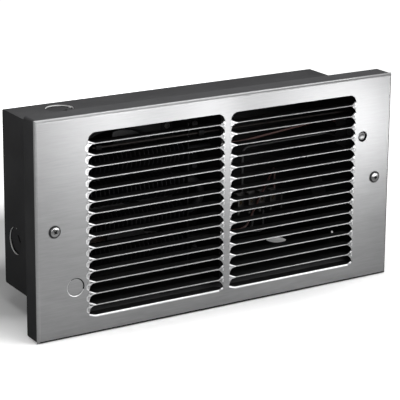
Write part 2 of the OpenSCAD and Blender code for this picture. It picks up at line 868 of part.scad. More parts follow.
// Element: four finned passes along X, joined by three round bends
module pass_bar(from, to, z) {
    translate([from, element_y, z])
        rotate([0, 90, 0]) cylinder(d = sheath_d, h = to - from);
}

module pass_fins(z) {
    for (i = [0 : fin_count - 1])
        translate([fins_left + i * fin_pitch, element_y, z])
            rotate([0, 90, 0]) cylinder(d = fin_d, h = fin_t, center = true);
}

module pass_bend(x, z, side) {
    translate([x, element_y, z])
        rotate([90, side * 90, 0])
            rotate_extrude(angle = 180) translate([pass_pitch / 2, 0]) circle(d = sheath_d);
}

module heating_element() color([0.45, 0.42, 0.4]) difference() {
    union() {
        pass_bar(bend_left, sheath_end_x, pass_z[0]);
        pass_bar(bend_left, bend_right, pass_z[1]);
        pass_bar(bend_left, bend_right, pass_z[2]);
        pass_bar(bend_left, sheath_end_x, pass_z[3]);
        pass_bend(bend_left, (pass_z[0] + pass_z[1]) / 2, -1);
        pass_bend(bend_right, (pass_z[1] + pass_z[2]) / 2, 1);
        pass_bend(bend_left, (pass_z[2] + pass_z[3]) / 2, -1);
        for (z = pass_z) pass_fins(z);
    }
    for (z = [pass_z[0], pass_z[3]])
        translate([sheath_end_x - pin_in - 0.5, element_y, z])
            rotate([0, 90, 0]) cylinder(d = pin_d + 2 * thread_gap, h = pin_in + 1);
}

module element_insulators() color([0.93, 0.91, 0.86])
    for (z = [pass_z[0], pass_z[3]])
        translate([sheath_end_x + seat_gap, element_y, z])
            rotate([0, 90, 0]) difference() {
                cylinder(d = sheath_d, h = insulator_l);
                translate([0, 0, -1]) cylinder(d = pin_d + 2 * thread_gap, h = insulator_l + 2);
            }

module element_terminals() color(bare_steel)
    for (z = [pass_z[0], pass_z[3]])
        translate([sheath_end_x - pin_in, element_y, z])
            rotate([0, 90, 0]) {
                cylinder(d = pin_d, h = pin_in + insulator_l + pin_l);
                translate([0, 0, pin_in + insulator_l + 2 * seat_gap])
                    cylinder(d = 2 * pin_d, h = 0.75 * pin_d, $fn = 6);
            }

// Hangers that carry the element on the deck
hanger_screw_r = 1.5;

module hanger_screw_places() {
    for (x = [hanger_left_x, hanger_right_x], z = [-1, 1])
        translate([x - hanger_t / 2 - hanger_foot_w / 2, 0, z * hanger_foot_z]) children();
}

module element_hanger(x) {
    foot_back_y = deck_y - seat_gap;
    leg = 6;
    difference() {
        union() {
            plate_y(hanger_front_y, foot_back_y - leg)
                translate([x, 0]) square([hanger_t, 2 * hanger_z], center = true);
            for (z = [-1, 1])
                translate([x, 0, z * hanger_foot_z]) {
                    plate_y(foot_back_y - leg - 2, foot_back_y)
                        square([hanger_t, hanger_foot_h], center = true);
                    plate_y(foot_back_y - hanger_t, foot_back_y)
                        translate([-hanger_t / 2 - hanger_foot_w, -hanger_foot_h / 2])
                            square([hanger_foot_w + hanger_t, hanger_foot_h]);
                }
        }
        for (z = pass_z)
            translate([x, element_y, z])
                rotate([0, 90, 0]) cylinder(r = sheath_d / 2 + hanger_gap, h = 4 * hanger_t, center = true);
        hanger_screw_places() bar_y(hanger_screw_r + hole_gap / 2, deck_y - 3, deck_y + 1);
    }
}

module element_hanger_left() color(zinc) element_hanger(hanger_left_x);

module element_hanger_right() color(zinc) element_hanger(hanger_right_x);

module hanger_screws() color(zinc)
    hanger_screw_places()
        translate([0, deck_y - seat_gap - hanger_t, 0])
            screw(small_head_d, small_head_h, 2 * hanger_screw_r, hanger_t + seat_gap + 2 * pan_t);

// Cut-out with its manual reset
module limit_rivet_places() {
    for (z = [-1, 1])
        translate([in_x, limit_plate_y + limit_foot_l - 6, reset_z + z * rivet_spread / 2]) children();
}

module limit_bracket() color(zinc) difference() {
    foot_x = in_x - seat_gap;
    union() {
        block([reset_x - limit_w / 2 - 3, limit_plate_y, reset_z - limit_h / 2],
            [foot_x, limit_plate_y + pan_t, reset_z + limit_h / 2]);
        block([foot_x - pan_t, limit_plate_y, reset_z - limit_h / 2],
            [foot_x, limit_plate_y + limit_foot_l, reset_z + limit_h / 2]);
    }
    translate([reset_x, limit_plate_y, reset_z]) bar_y(bushing_d / 2 + 2 * thread_gap, -1, pan_t + 1);
    limit_rivet_places() rotate([0, 90, 0]) cylinder(d = rivet_d + 2 * thread_gap, h = 20, center = true);
}

module limit_rivets() color(bare_steel) {
    grip = seat_gap + pan_t;
    limit_rivet_places()
        rotate([0, 90, 0]) {
            translate([0, 0, -grip - rivet_head_h]) cylinder(d = rivet_head_d, h = rivet_head_h);
            translate([0, 0, -grip]) cylinder(d = rivet_d - thread_gap, h = grip + can_t);
            translate([0, 0, can_t]) cylinder(d = rivet_head_d, h = rivet_head_h * 0.6);
        }
}

// Half the spread of the cut-out's tabs, and their length
tab_x = 5;
tab_z = 8;
tab_l = 8;
tab_half_t = 0.4;
tab_half_w = 3;

module limit_switch() color([0.12, 0.12, 0.13])
    translate([reset_x, 0, reset_z]) difference() {
        union() {
            plate_y(limit_y, limit_y + limit_d) round_rect(limit_w, limit_h - 4, 2);
            bar_y(bushing_d / 2, limit_y - bushing_h, limit_y);
            for (x = [-1, 1], z = [-1, 1])
                translate([x * tab_x, 0, z * tab_z])
                    block([-tab_half_t, limit_y + limit_d - 1, -tab_half_w],
                        [tab_half_t, limit_y + limit_d + tab_l, tab_half_w]);
        }
        bar_y(stem_d / 2 + running_gap, limit_y - bushing_h - 1, limit_y - bushing_h + stem_in + 1);
    }

module reset_nut() color(zinc)
    translate([reset_x, limit_plate_y - seat_gap, reset_z]) difference() {
        rotate([90, 0, 0]) cylinder(d = 1.4 * bushing_d, h = 0.22 * bushing_d, $fn = 6);
        bar_y(bushing_d / 2 + thread_gap, -4, 1);
    }

module reset_button() color([0.75, 0.75, 0.76])
    translate([reset_x, 0, reset_z]) {
        bar_y(cap_d / 2, cap_y, cap_y + cap_h);
        bar_y(stem_d / 2, cap_y + cap_h, limit_y - bushing_h + stem_in - reset_travel);
    }

// Sensing tube of the cut-out, across the front of the element
module limit_capillary() color([0.4, 0.27, 0.2])
    wire([[reset_x, limit_y + 10, reset_z + limit_h / 2 - 2 + seat_gap],
        [reset_x, limit_y + 10, capillary_z],
        [reset_x - 14, capillary_y, capillary_z],
        [hanger_left_x + capillary_r, capillary_y, capillary_z]], capillary_r, 6);

clip_w = 6;
clip_r = 2.6;
clip_t = 1;

// Clip: an eye round the tube on a strap with a foot on the deck
module capillary_clips() color(zinc)
    for (x = [hanger_left_x, hanger_right_x] + (clip_w + clip_t) * [1, 1])
        translate([x, 0, capillary_z]) difference() {
            plate_x(-clip_w / 2, clip_w / 2) {
                translate([capillary_y, 0]) square(2 * clip_r, center = true);
                translate([capillary_y, clip_r - clip_t]) square([deck_y - seat_gap - capillary_y, clip_t]);
                translate([deck_y - seat_gap - clip_t, -1.5 * clip_r]) square([clip_t, 2.5 * clip_r]);
            }
            translate([0, capillary_y, 0])
                rotate([0, 90, 0]) cylinder(r = capillary_r + thread_gap, h = clip_w + 2, center = true);
        }

// Terminal block: a base with a rib on each side of every pole
block_back_y = pan_y - seat_gap;
block_top_y = block_back_y - 0.6 * block_d;
rib_t = 2;
pole_pitch = (block_w - rib_t) / block_poles;
pole_screw_r = 1.8;
pole_screw_l = 6;

function pole_x(i) = block_x + (i - (block_poles - 1) / 2) * pole_pitch;

module terminal_block() color([0.12, 0.11, 0.1]) difference() {
    translate([block_x, 0, block_z]) {
        plate_y(block_top_y, block_back_y) square([block_w, block_h], center = true);
        for (i = [0 : block_poles])
            translate([(i - block_poles / 2) * pole_pitch, 0, 0])
                plate_y(block_back_y - block_d, block_back_y) square([rib_t, block_h], center = true);
    }
    for (i = [0 : block_poles - 1])
        translate([pole_x(i), 0, block_z])
            bar_y(pole_screw_r + thread_gap, block_top_y - 1, block_top_y + pole_screw_l + 1);
}

module terminal_screws() color([0.78, 0.66, 0.36])
    for (i = [0 : block_poles - 1])
        translate([pole_x(i), block_top_y - seat_gap, block_z])
            screw(4 * pole_screw_r, 1.1 * pole_screw_r, 2 * pole_screw_r, pole_screw_l);

ground_screw_r = 2;

module ground_screw() color([0.2, 0.5, 0.25])
    translate([ground_x, pan_y, ground_z]) {
        rotate([90, 0, 0]) cylinder(d = 4 * ground_screw_r, h = 1.5 * ground_screw_r, $fn = 6);
        bar_y(ground_screw_r, 0, pan_t);
    }

clamp_screw_r = 1.6;
clamp_t = 1.2;

module clamp_screw_places() {
    for (x = [-1, 1])
        translate([clamp_x + x * (cable_r + 7), 0, clamp_z]) children();
}

module cable_clamp() color(zinc) difference() {
    half_h = 5;
    base_y = pan_y - seat_gap;
    translate([clamp_x, 0, clamp_z]) union() {
        block([-cable_r - 13, base_y - clamp_t, -half_h], [cable_r + 13, base_y, half_h]);
        difference() {
            plate_z_from(-half_h, half_h) union() {
                translate([0, base_y - cable_r]) circle(cable_r + clamp_t);
                translate([-cable_r - clamp_t, base_y - cable_r])
                    square([2 * (cable_r + clamp_t), cable_r]);
            }
            block([-30, base_y, -half_h - 1], [30, base_y + 10, half_h + 1]);
        }
    }
    translate([clamp_x, 0, clamp_z]) plate_z_from(-half_h - 1, half_h + 1) {
        translate([0, base_y - cable_r]) circle(cable_r);
        translate([-cable_r, base_y - cable_r]) square([2 * cable_r, cable_r + 1]);
    }
    clamp_screw_places() bar_y(clamp_screw_r + hole_gap / 2, base_y - 4, base_y + 1);
}

module clamp_screws() color(zinc)
    clamp_screw_places()
        translate([0, pan_y - seat_gap - clamp_t, 0])
            screw(small_head_d, small_head_h, 2 * clamp_screw_r, clamp_t + seat_gap + pan_t);

// Leads in the intake half, with the room that each takes up at its ends
lead_bend = 8;
lead_seat = 0.3;
lead_arch = 14;
supply_knee = 24;
pin_rooms = [16, 20];
return_knee = 26;
coil_room = 12;
motor_knee = 20;
motor_knee_step = 5;
pole_lead_y = block_top_y - 5;
limit_lead_y = limit_y + limit_d + tab_l + lead_seat;

module supply_leads() color([0.15, 0.15, 0.16])
    wire([[pole_x(0), pole_lead_y, block_z + block_h / 2 + lead_seat],
        [pole_x(0), pole_lead_y, reset_z - supply_knee],
        [reset_x - tab_x, limit_lead_y + lead_arch, reset_z - tab_z],
        [reset_x - tab_x, limit_lead_y, reset_z - tab_z]], lead_r, lead_bend);

module element_leads() color([0.28, 0.1, 0.08]) {
    tip_x = sheath_end_x + insulator_l + pin_l + lead_seat;
    wire([[tip_x, element_y, pass_z[3]],
        [tip_x + pin_rooms[0], element_y, pass_z[3]],
        [reset_x - tab_x, limit_lead_y + lead_arch, reset_z + tab_z],
        [reset_x - tab_x, limit_lead_y, reset_z + tab_z]], lead_r, lead_bend);
    wire([[tip_x, element_y, pass_z[0]],
        [tip_x + pin_rooms[1], element_y, pass_z[0]],
        [pole_x(3), pole_lead_y, block_z + block_h / 2 + return_knee],
        [pole_x(3), pole_lead_y, block_z + block_h / 2 + lead_seat]], lead_r, lead_bend);
}

module motor_leads() color([0.15, 0.15, 0.16]) {
    coil_side_x = fan_x + (stack_w - 2 * leg_w - 6) / 2;
    coil_side_z = core_z - coil_t / 2;
    pole_low_z = block_z - block_h / 2;
    for (i = [0, 1]) {
        coil_side_y = stack_y - coil_t / 2 + i * (stack_t + coil_t);
        wire([[coil_side_x + lead_seat, coil_side_y, coil_side_z],
            [fan_x + stack_w / 2 + coil_room, coil_side_y, coil_side_z],
            [pole_x(1 + i), pole_lead_y, pole_low_z - motor_knee - motor_knee_step * i],
            [pole_x(1 + i), pole_lead_y, pole_low_z - lead_seat]], lead_r, lead_bend);
    }
}

can_wrap();
can_ends();
surround_frame();
surround_screws();
face_plate();
face_screws();
chassis_pan();
chassis_screws();
fan_deck();
deck_posts();
deck_screws();
air_partition();
partition_rivets();
fan_wheel();
fan_hub();
hub_screw();
motor_shaft();
motor_rotor();
motor_stator();
motor_coil();
motor_front_bracket();
motor_rear_bracket();
motor_bushes();
motor_bolts();
motor_mount();
motor_mount_screws();
heating_element();
element_insulators();
element_terminals();
element_hanger_left();
element_hanger_right();
hanger_screws();
limit_switch();
limit_bracket();
limit_rivets();
reset_nut();
reset_button();
limit_capillary();
capillary_clips();
terminal_block();
terminal_screws();
ground_screw();
cable_clamp();
clamp_screws();
supply_leads();
element_leads();
motor_leads();
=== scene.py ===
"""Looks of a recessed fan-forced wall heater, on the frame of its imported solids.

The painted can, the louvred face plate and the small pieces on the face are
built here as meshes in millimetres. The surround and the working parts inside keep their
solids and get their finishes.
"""

import logging
import math
from dataclasses import dataclass, field
from enum import Enum, IntEnum

import bmesh
import bpy
from mathutils import Matrix, Vector, geometry


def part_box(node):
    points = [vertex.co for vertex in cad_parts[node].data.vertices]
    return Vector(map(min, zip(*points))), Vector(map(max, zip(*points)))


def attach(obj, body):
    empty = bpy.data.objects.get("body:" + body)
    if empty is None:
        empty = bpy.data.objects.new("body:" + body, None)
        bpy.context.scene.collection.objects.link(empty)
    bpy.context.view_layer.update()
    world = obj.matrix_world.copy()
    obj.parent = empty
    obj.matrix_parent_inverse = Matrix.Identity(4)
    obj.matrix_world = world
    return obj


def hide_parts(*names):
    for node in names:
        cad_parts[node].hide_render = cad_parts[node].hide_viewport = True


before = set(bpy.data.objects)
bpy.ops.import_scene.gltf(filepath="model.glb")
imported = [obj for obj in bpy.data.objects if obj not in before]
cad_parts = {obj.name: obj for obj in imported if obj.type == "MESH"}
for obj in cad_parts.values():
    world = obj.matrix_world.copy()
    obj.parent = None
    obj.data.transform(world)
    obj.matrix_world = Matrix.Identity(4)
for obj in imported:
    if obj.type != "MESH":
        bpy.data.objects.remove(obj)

LOG = logging.getLogger("heater")
MM = 0.001
FRONT_Y = -24.0  # front of the face plate, in millimetres
MIDDLE_Z = -3.0  # height of the middle of the face plate
SCREW_X = 190.5  # distance of the face screws from the middle
RESET_AT = (173.5, 43.8)  # middle of the reset button, along X and Z
TIP = 1e-3  # radius in millimetres at which a turned surface closes
WELD = 1e-6  # distance in metres within which points of a mesh are joined
SHARP_FROM = 25.0  # angle in degrees above which an edge of a sheet stays sharp
BAND_PITCH = 0.31416  # metres from band to band of Blender's wave texture at scale 1
Point = tuple[float, float, float]
Place = tuple[float, float]
Range = tuple[float, float]
MIDDLE = (0.3, 0.7)  # part of a noise's values that a ramp covers
WHOLE = (0.0, 1.0)


class Body(str, Enum):
    """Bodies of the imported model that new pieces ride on."""

    HEATER = "heater"
    RESET = "reset"


class Side(Enum):
    """Left or right side, as a sign along X."""

    LEFT = -1
    RIGHT = 1


class Facing(Enum):
    """Wall that a small feature sits in, and the way into that wall."""

    FRONT = 0
    LEFT = 1
    RIGHT = 2
    TOP = 3
    BOTTOM = 4

    def place(self, centre: Point, a: float, depth: float, b: float) -> Point:
        """Place a point that is given from the middle of a feature.

        Args:
            centre: middle of the feature, on the surface of the wall.
            a: distance along the wall, to the right or to the back.
            depth: distance into the wall.
            b: distance along the wall, upward or to the right.

        Returns:
            The point.
        """
        shift = {Facing.FRONT: (a, depth, b), Facing.LEFT: (depth, a, b),
                 Facing.RIGHT: (-depth, a, b), Facing.TOP: (b, a, -depth),
                 Facing.BOTTOM: (b, a, depth)}[self]
        return (centre[0] + shift[0], centre[1] + shift[1], centre[2] + shift[2])


# ---------------------------------------------------------------- materials


class Recipe:
    """One material's node tree, with short calls to add nodes and links."""

    def __init__(self, name: str) -> None:
        """Start an empty material with an output and a Principled shader.

        Args:
            name: name of the material.
        """
        self.material = bpy.data.materials.new(name)
        self.material.use_nodes = True
        self.tree = self.material.node_tree
        self.tree.nodes.clear()
        output = self.tree.nodes.new("ShaderNodeOutputMaterial")
        self.shader = self.tree.nodes.new("ShaderNodeBsdfPrincipled")
        self.link(self.shader.outputs["BSDF"], output.inputs["Surface"])

    def node(self, kind: str, **settings: object) -> bpy.types.Node:
        """Add a node and set its attributes.

        Args:
            kind: the node's type.
            settings: attributes to set on it.

        Returns:
            The new node.
        """
        made = self.tree.nodes.new(kind)
        for key, value in settings.items():
            setattr(made, key, value)
        return made

    def link(self, out: bpy.types.NodeSocket, into: bpy.types.NodeSocket) -> None:
        """Link an output to an input."""
        self.tree.links.new(out, into)

    def set(self, **values: object) -> None:
        """Set inputs of the shader by name, with underscores for spaces."""
        for key, value in values.items():
            self.shader.inputs[key.replace("_", " ")].default_value = value

    def stretched(self, scale: Point) -> bpy.types.NodeSocket:
        """Object coordinates scaled along each axis.

        Args:
            scale: factors along X, Y and Z, per metre.

        Returns:
            The socket with the scaled coordinates.
        """
        coords = self.node("ShaderNodeTexCoord")
        mapping = self.node("ShaderNodeMapping")
        mapping.inputs["Scale"].default_value = scale
        self.link(coords.outputs["Object"], mapping.inputs["Vector"])
        return mapping.outputs["Vector"]

    def noise(self, scale: Point, detail: float = 3.0) -> bpy.types.NodeSocket:
        """Noise in stretched object coordinates.

        Args:
            scale: factors along X, Y and Z, per metre.
            detail: octaves of the noise.

        Returns:
            The socket with the noise, from 0 to 1.
        """
        texture = self.node("ShaderNodeTexNoise")
        texture.inputs["Scale"].default_value = 1.0
        texture.inputs["Detail"].default_value = detail
        self.link(self.stretched(scale), texture.inputs["Vector"])
        return texture.outputs["Fac"]

    def even_noise(self, scale: float, detail: float = 3.0) -> bpy.types.NodeSocket:
        """Return noise with the same scale along all axes."""
        return self.noise((scale, scale, scale), detail)

    def cells(self, scale: float) -> bpy.types.NodeSocket:
        """Random grey value of each cell of a Voronoi pattern.

        Args:
            scale: cells per metre.

        Returns:
            The socket with the cells' values.
        """
        texture = self.node("ShaderNodeTexVoronoi")
        texture.inputs["Scale"].default_value = 1.0
        self.link(self.stretched((scale, scale, scale)), texture.inputs["Vector"])
        split = self.node("ShaderNodeSeparateColor")
        self.link(texture.outputs["Color"], split.inputs["Color"])
        return split.outputs["Red"]

    def bands(self, axis: str, pitch: float, distortion: float,
              detail: float = 2.0) -> bpy.types.NodeSocket:
        """Soft bands that follow each other along an axis.

        Args:
            axis: the axis.
            pitch: distance from band to band, in metres.
            distortion: how uneven the bands are.
            detail: octaves of the unevenness.

        Returns:
            The socket with the bands, from 0 to 1.
        """
        coords = self.node("ShaderNodeTexCoord")
        wave = self.node("ShaderNodeTexWave", wave_type="BANDS", bands_direction=axis)
        for name, number in (("Scale", BAND_PITCH / pitch), ("Distortion", distortion),
                             ("Detail", detail)):
            wave.inputs[name].default_value = number
        self.link(coords.outputs["Object"], wave.inputs["Vector"])
        return wave.outputs["Fac"]

    def ramp(self, value: bpy.types.NodeSocket, low: float, high: float,
             start: float = MIDDLE[0], end: float = MIDDLE[1]) -> bpy.types.NodeSocket:
        """Map a value onto a range.

        Args:
            value: the socket to map.
            low: result at start.
            high: result at end.
            start: value that gives low.
            end: value that gives high.

        Returns:
            The socket with the mapped value.
        """
        mapped = self.node("ShaderNodeMapRange")
        for name, number in (("From Min", start), ("From Max", end),
                             ("To Min", low), ("To Max", high)):
            mapped.inputs[name].default_value = number
        self.link(value, mapped.inputs["Value"])
        return mapped.outputs["Result"]

    def blend(self, value: bpy.types.NodeSocket, low: Point, high: Point) -> bpy.types.NodeSocket:
        """Blend two colours by a value.

        Args:
            value: the socket that blends, 0 to 1.
            low: colour at 0.
            high: colour at 1.

        Returns:
            The socket with the colour.
        """
        mix = self.node("ShaderNodeMix", data_type="RGBA")
        mix.inputs["A"].default_value = (*low, 1.0)
        mix.inputs["B"].default_value = (*high, 1.0)
        self.link(value, mix.inputs["Factor"])
        return mix.outputs["Result"]

    def bump(self, height: bpy.types.NodeSocket, depth: float, radius: float = 0.0) -> None:
        """Give the shader a bump, on edges rounded by a radius.

        Args:
            height: the socket with the height, 0 to 1.
            depth: depth of the bump in metres.
            radius: radius that sharp edges are shaded with.
        """
        bump = self.node("ShaderNodeBump")
        bump.inputs["Distance"].default_value = depth
        bump.inputs["Strength"].default_value = 1.0
        self.link(height, bump.inputs["Height"])
        if radius:
            bevel = self.node("ShaderNodeBevel", samples=4)
            bevel.inputs["Radius"].default_value = radius
            self.link(bevel.outputs["Normal"], bump.inputs["Normal"])
        self.link(bump.outputs["Normal"], self.shader.inputs["Normal"])


def tint(colour: Point, factor: float) -> Point:
    """Return a colour made darker or lighter by a factor."""
    return (colour[0] * factor, colour[1] * factor, colour[2] * factor)


@dataclass(frozen=True)
class Finish:
    """Base of all finishes. A finish makes its material once and shares it.

    The tones are factors on the colour, and the gloss range is added to the roughness.
    """

    name: str
    colour: Point
    roughness: float = 0.4
    edge: float = 0.0
    tones: Range = (1.0, 1.0)
    gloss: Range = (0.0, 0.0)
    metallic: float = 0.0
    specular: float = 0.5
    coat: float = 0.0
    coat_roughness: float = 0.03

    def material(self) -> bpy.types.Material:
        """Return the finish's material, made at its first use.

        Returns:
            The material.
        """
        found = bpy.data.materials.get(self.name)
        if found:
            return found
        recipe = Recipe(self.name)
        recipe.set(Roughness=self.roughness, Metallic=self.metallic,
                   Specular_IOR_Level=self.specular, Coat_Weight=self.coat,
                   Coat_Roughness=self.coat_roughness)
        self.dress(recipe)
        return recipe.material

    def dress(self, recipe: Recipe) -> None:
        """Fill in the material's nodes. Each finish has its own way."""
        raise NotImplementedError

    def toned(self, recipe: Recipe, value: bpy.types.NodeSocket) -> None:
        """Vary the colour over the finish's tones, by a value from 0 to 1."""
        low, high = (tint(self.colour, factor) for factor in self.tones)
        recipe.link(recipe.blend(value, low, high), recipe.shader.inputs["Base Color"])

    def glossed(self, recipe: Recipe, value: bpy.types.NodeSocket, span: Range = MIDDLE) -> None:
        """Vary the roughness over the finish's gloss range, where a value spans a range."""
        low, high = (self.roughness + step for step in self.gloss)
        recipe.link(recipe.ramp(value, low, high, *span), recipe.shader.inputs["Roughness"])


@dataclass(frozen=True)
class BrushedSteel(Finish):
    """Stainless sheet with fine horizontal brush lines."""

    tones: Range = (0.89, 1.11)
    gloss: Range = (-0.04, 0.05)
    metallic: float = 1.0
    anisotropy: float = 0.4
    across: float = 0.25
    fine: Point = (30.0, 700.0, 1100.0)
    broad: Point = (60.0, 60.0, 400.0)
    share: float = 0.45
    depth: float = 2e-6

    def dress(self, recipe: Recipe) -> None:
        """Give the sheet long fine lines along X, in colour, roughness and height.

        Args:
            recipe: the material.
        """
        fine = recipe.noise(self.fine, detail=4.0)
        both = recipe.node("ShaderNodeMix", data_type="FLOAT")
        both.inputs["Factor"].default_value = self.share
        recipe.link(fine, both.inputs["A"])
        recipe.link(recipe.noise(self.broad), both.inputs["B"])
        lines = both.outputs["Result"]
        self.toned(recipe, recipe.ramp(lines, 0, 1))
        self.glossed(recipe, lines)
        recipe.set(Anisotropic=self.anisotropy, Anisotropic_Rotation=self.across)
        recipe.bump(fine, self.depth)


@dataclass(frozen=True)
class Enamel(Finish):
    """Flat baked enamel with a faint orange peel."""

    tones: Range = (0.93, 1.07)
    gloss: Range = (0.05, -0.05)
    specular: float = 0.15
    peel: float = 900.0
    cloud: float = 22.0
    depth: float = 6e-6

    def dress(self, recipe: Recipe) -> None:
        """Give the paint its peel, a slight unevenness of tone and rubbed spots.

        Args:
            recipe: the material.
        """
        cloud = recipe.even_noise(self.cloud, detail=4.0)
        self.toned(recipe, recipe.ramp(cloud, 0, 1))
        self.glossed(recipe, cloud)
        recipe.bump(recipe.even_noise(self.peel, detail=2.0), self.depth, self.edge)


@dataclass(frozen=True)
class Galvanised(Finish):
    """Zinc coated sheet with its spangle."""

    tones: Range = (0.82, 1.1)
    gloss: Range = (-0.08, 0.1)
    metallic: float = 1.0
    crystals: float = 160.0
    haze: float = 60.0
    depth: float = 4e-6

    def dress(self, recipe: Recipe) -> None:
        """Give the sheet zinc crystals that differ in tone and gloss.

        Args:
            recipe: the material.
        """
        spangle = recipe.cells(self.crystals)
        self.toned(recipe, spangle)
        self.glossed(recipe, spangle, WHOLE)
        recipe.bump(recipe.even_noise(self.haze, detail=4.0), self.depth, self.edge)


@dataclass(frozen=True)
class TurnedMetal(Finish):
    """Machined or plated metal with fine tool marks."""

    tones: Range = (0.94, 1.03)
    gloss: Range = (-0.05, 0.07)
    metallic: float = 1.0
    along: Point = (400.0, 2400.0, 400.0)
    tarnish: float = 90.0
    depth: float = 2e-6

    def dress(self, recipe: Recipe) -> None:
        """Give the metal tool marks and a slight tarnish.

        Args:
            recipe: the material.
        """
        marks = recipe.noise(self.along)
        self.toned(recipe, recipe.ramp(recipe.even_noise(self.tarnish), 0, 1))
        self.glossed(recipe, marks)
        recipe.bump(marks, self.depth, self.edge)


@dataclass(frozen=True)
class DulledMetal(TurnedMetal):
    """Turned metal shaded as a dull non-metal with little reflection, or a rough cut edge. Its
    dark colours inside the can are painted shade.
    """

    metallic: float = 0.0
    specular: float = 0.1


@dataclass(frozen=True)
class Laminated(Finish):
    """Stack of thin stampings seen on edge, with a blued surface."""

    tones: Range = (0.55, 1.15)
    gloss: Range = (0.1, 0.0)
    metallic: float = 1.0
    sheet: float = 0.0005
    uneven: float = 0.4
    depth: float = 6e-5

    def dress(self, recipe: Recipe) -> None:
        """Give the stack its lines along Y.

        Args:
            recipe: the material.
        """
        lines = recipe.bands("Y", self.sheet, self.uneven)
        self.toned(recipe, lines)
        self.glossed(recipe, lines, WHOLE)
        recipe.bump(lines, self.depth)


@dataclass(frozen=True)
class Winding(Finish):
    """Varnished copper wire in close turns."""

    tones: Range = (0.35, 1.15)
    metallic: float = 0.2
    coat: float = 0.05
    coat_roughness: float = 0.3
    wire: float = 0.0006
    uneven: float = 0.8
    depth: float = 2e-4

    def dress(self, recipe: Recipe) -> None:
        """Give the coil its turns.

        Args:
            recipe: the material.
        """
        turns = recipe.bands("Z", self.wire, self.uneven, detail=1.0)
        self.toned(recipe, turns)
        recipe.bump(turns, self.depth)


@dataclass(frozen=True)
class HeatedSheath(Finish):
    """Steel that has been hot: grey, with straw and blue patches."""

    gloss: Range = (-0.08, 0.14)
    specular: float = 0.05
    hot: Point = (0.05, 0.055, 0.085)
    patches: Point = (26.0, 60.0, 60.0)
    patch_edge: Range = (0.35, 0.65)
    grain: float = 800.0
    depth: float = 6e-6

    def dress(self, recipe: Recipe) -> None:
        """Give the steel its patches of oxide.

        Args:
            recipe: the material.
        """
        patches = recipe.noise(self.patches, detail=4.0)
        colour = recipe.blend(recipe.ramp(patches, 0, 1, *self.patch_edge), self.colour, self.hot)
        recipe.link(colour, recipe.shader.inputs["Base Color"])
        self.glossed(recipe, patches)
        recipe.bump(recipe.even_noise(self.grain, detail=2.0), self.depth)


@dataclass(frozen=True)
class Moulded(Finish):
    """Moulded plastic with a fine grain."""

    tones: Range = (0.92, 1.05)
    gloss: Range = (0.05, -0.05)
    specular: float = 0.45
    grain: float = 1400.0
    flow: Point = (70.0, 30.0, 70.0)
    depth: float = 8e-6

    def dress(self, recipe: Recipe) -> None:
        """Give the plastic its grain and a slight change of tone.

        Args:
            recipe: the material.
        """
        flow = recipe.noise(self.flow)
        self.toned(recipe, recipe.ramp(flow, 0, 1))
        self.glossed(recipe, flow)
        recipe.bump(recipe.even_noise(self.grain, detail=2.0), self.depth, self.edge)


@dataclass(frozen=True)
class Glazed(Finish):
    """Glazed ceramic with small specks."""

    tones: Range = (1.0, 0.5)
    coat: float = 0.8
    coat_roughness: float = 0.08
    specks: float = 1500.0
    speck_edge: Range = (0.22, 0.3)
    waves: float = 180.0
    depth: float = 3e-5

    def dress(self, recipe: Recipe) -> None:
        """Give the glaze its specks and waves.

        Args:
            recipe: the material.
        """
        specks = recipe.even_noise(self.specks, detail=1.0)
        self.toned(recipe, recipe.ramp(specks, 1, 0, *self.speck_edge))
        recipe.bump(recipe.even_noise(self.waves, detail=2.0), self.depth, self.edge)


PLATE_STEEL = BrushedSteel("plate_steel", (0.148, 0.1485, 0.150), 0.44, anisotropy=0.7)
# Painted highlights: brighter copies of the plate's steel, for the louvres' ends, cut edges and
# lowest lip, and for the rolled edges.
PAINTED_HIGHLIGHT_STEEL = BrushedSteel("painted_highlight_steel", (0.32, 0.321, 0.324), 0.38)
ROLL_HIGHLIGHT_STEEL = BrushedSteel("roll_highlight_steel", (0.17, 0.1705, 0.172), 0.4)
# Painted shade: near-black for the back of the plate, its blades and turned-under rolls, the
# inside of the can and the walls of the screw recesses and pry slots.
PAINTED_SHADE_BLACK = Enamel("painted_shade_black", (0.006, 0.006, 0.006), 0.6, specular=0.05)
CAN_PAINT = Enamel("can_paint", (0.035, 0.035, 0.0362), 0.65, 0.0006, specular=0.03)
# Painted shade: the finishes of the parts inside the can (this sheet, the zinc, plated, drawn,
# aluminium, brass and copper metals, the coil, the hot steel, the ceramic, the terminal block and
# the supply and element leads) are darkened far below their materials' own colours, so that the
# inside stays dark behind the louvres.
PAINTED_SHADE_SHEET = Enamel("painted_shade_sheet", (0.004, 0.004, 0.0042), 0.6, 0.0003, specular=0.03)
SHEET_ZINC = Galvanised("sheet_zinc", (0.02, 0.02, 0.02), 0.5, 0.0003)
# Bare cut steel, made near white as a painted highlight.
CUT_EDGE_HIGHLIGHT = DulledMetal("cut_edge_highlight", (0.88, 0.88, 0.87), 0.5)
SCREW_STEEL = TurnedMetal("screw_steel", (0.12, 0.12, 0.121), 0.16, tones=(0.95, 1.025))
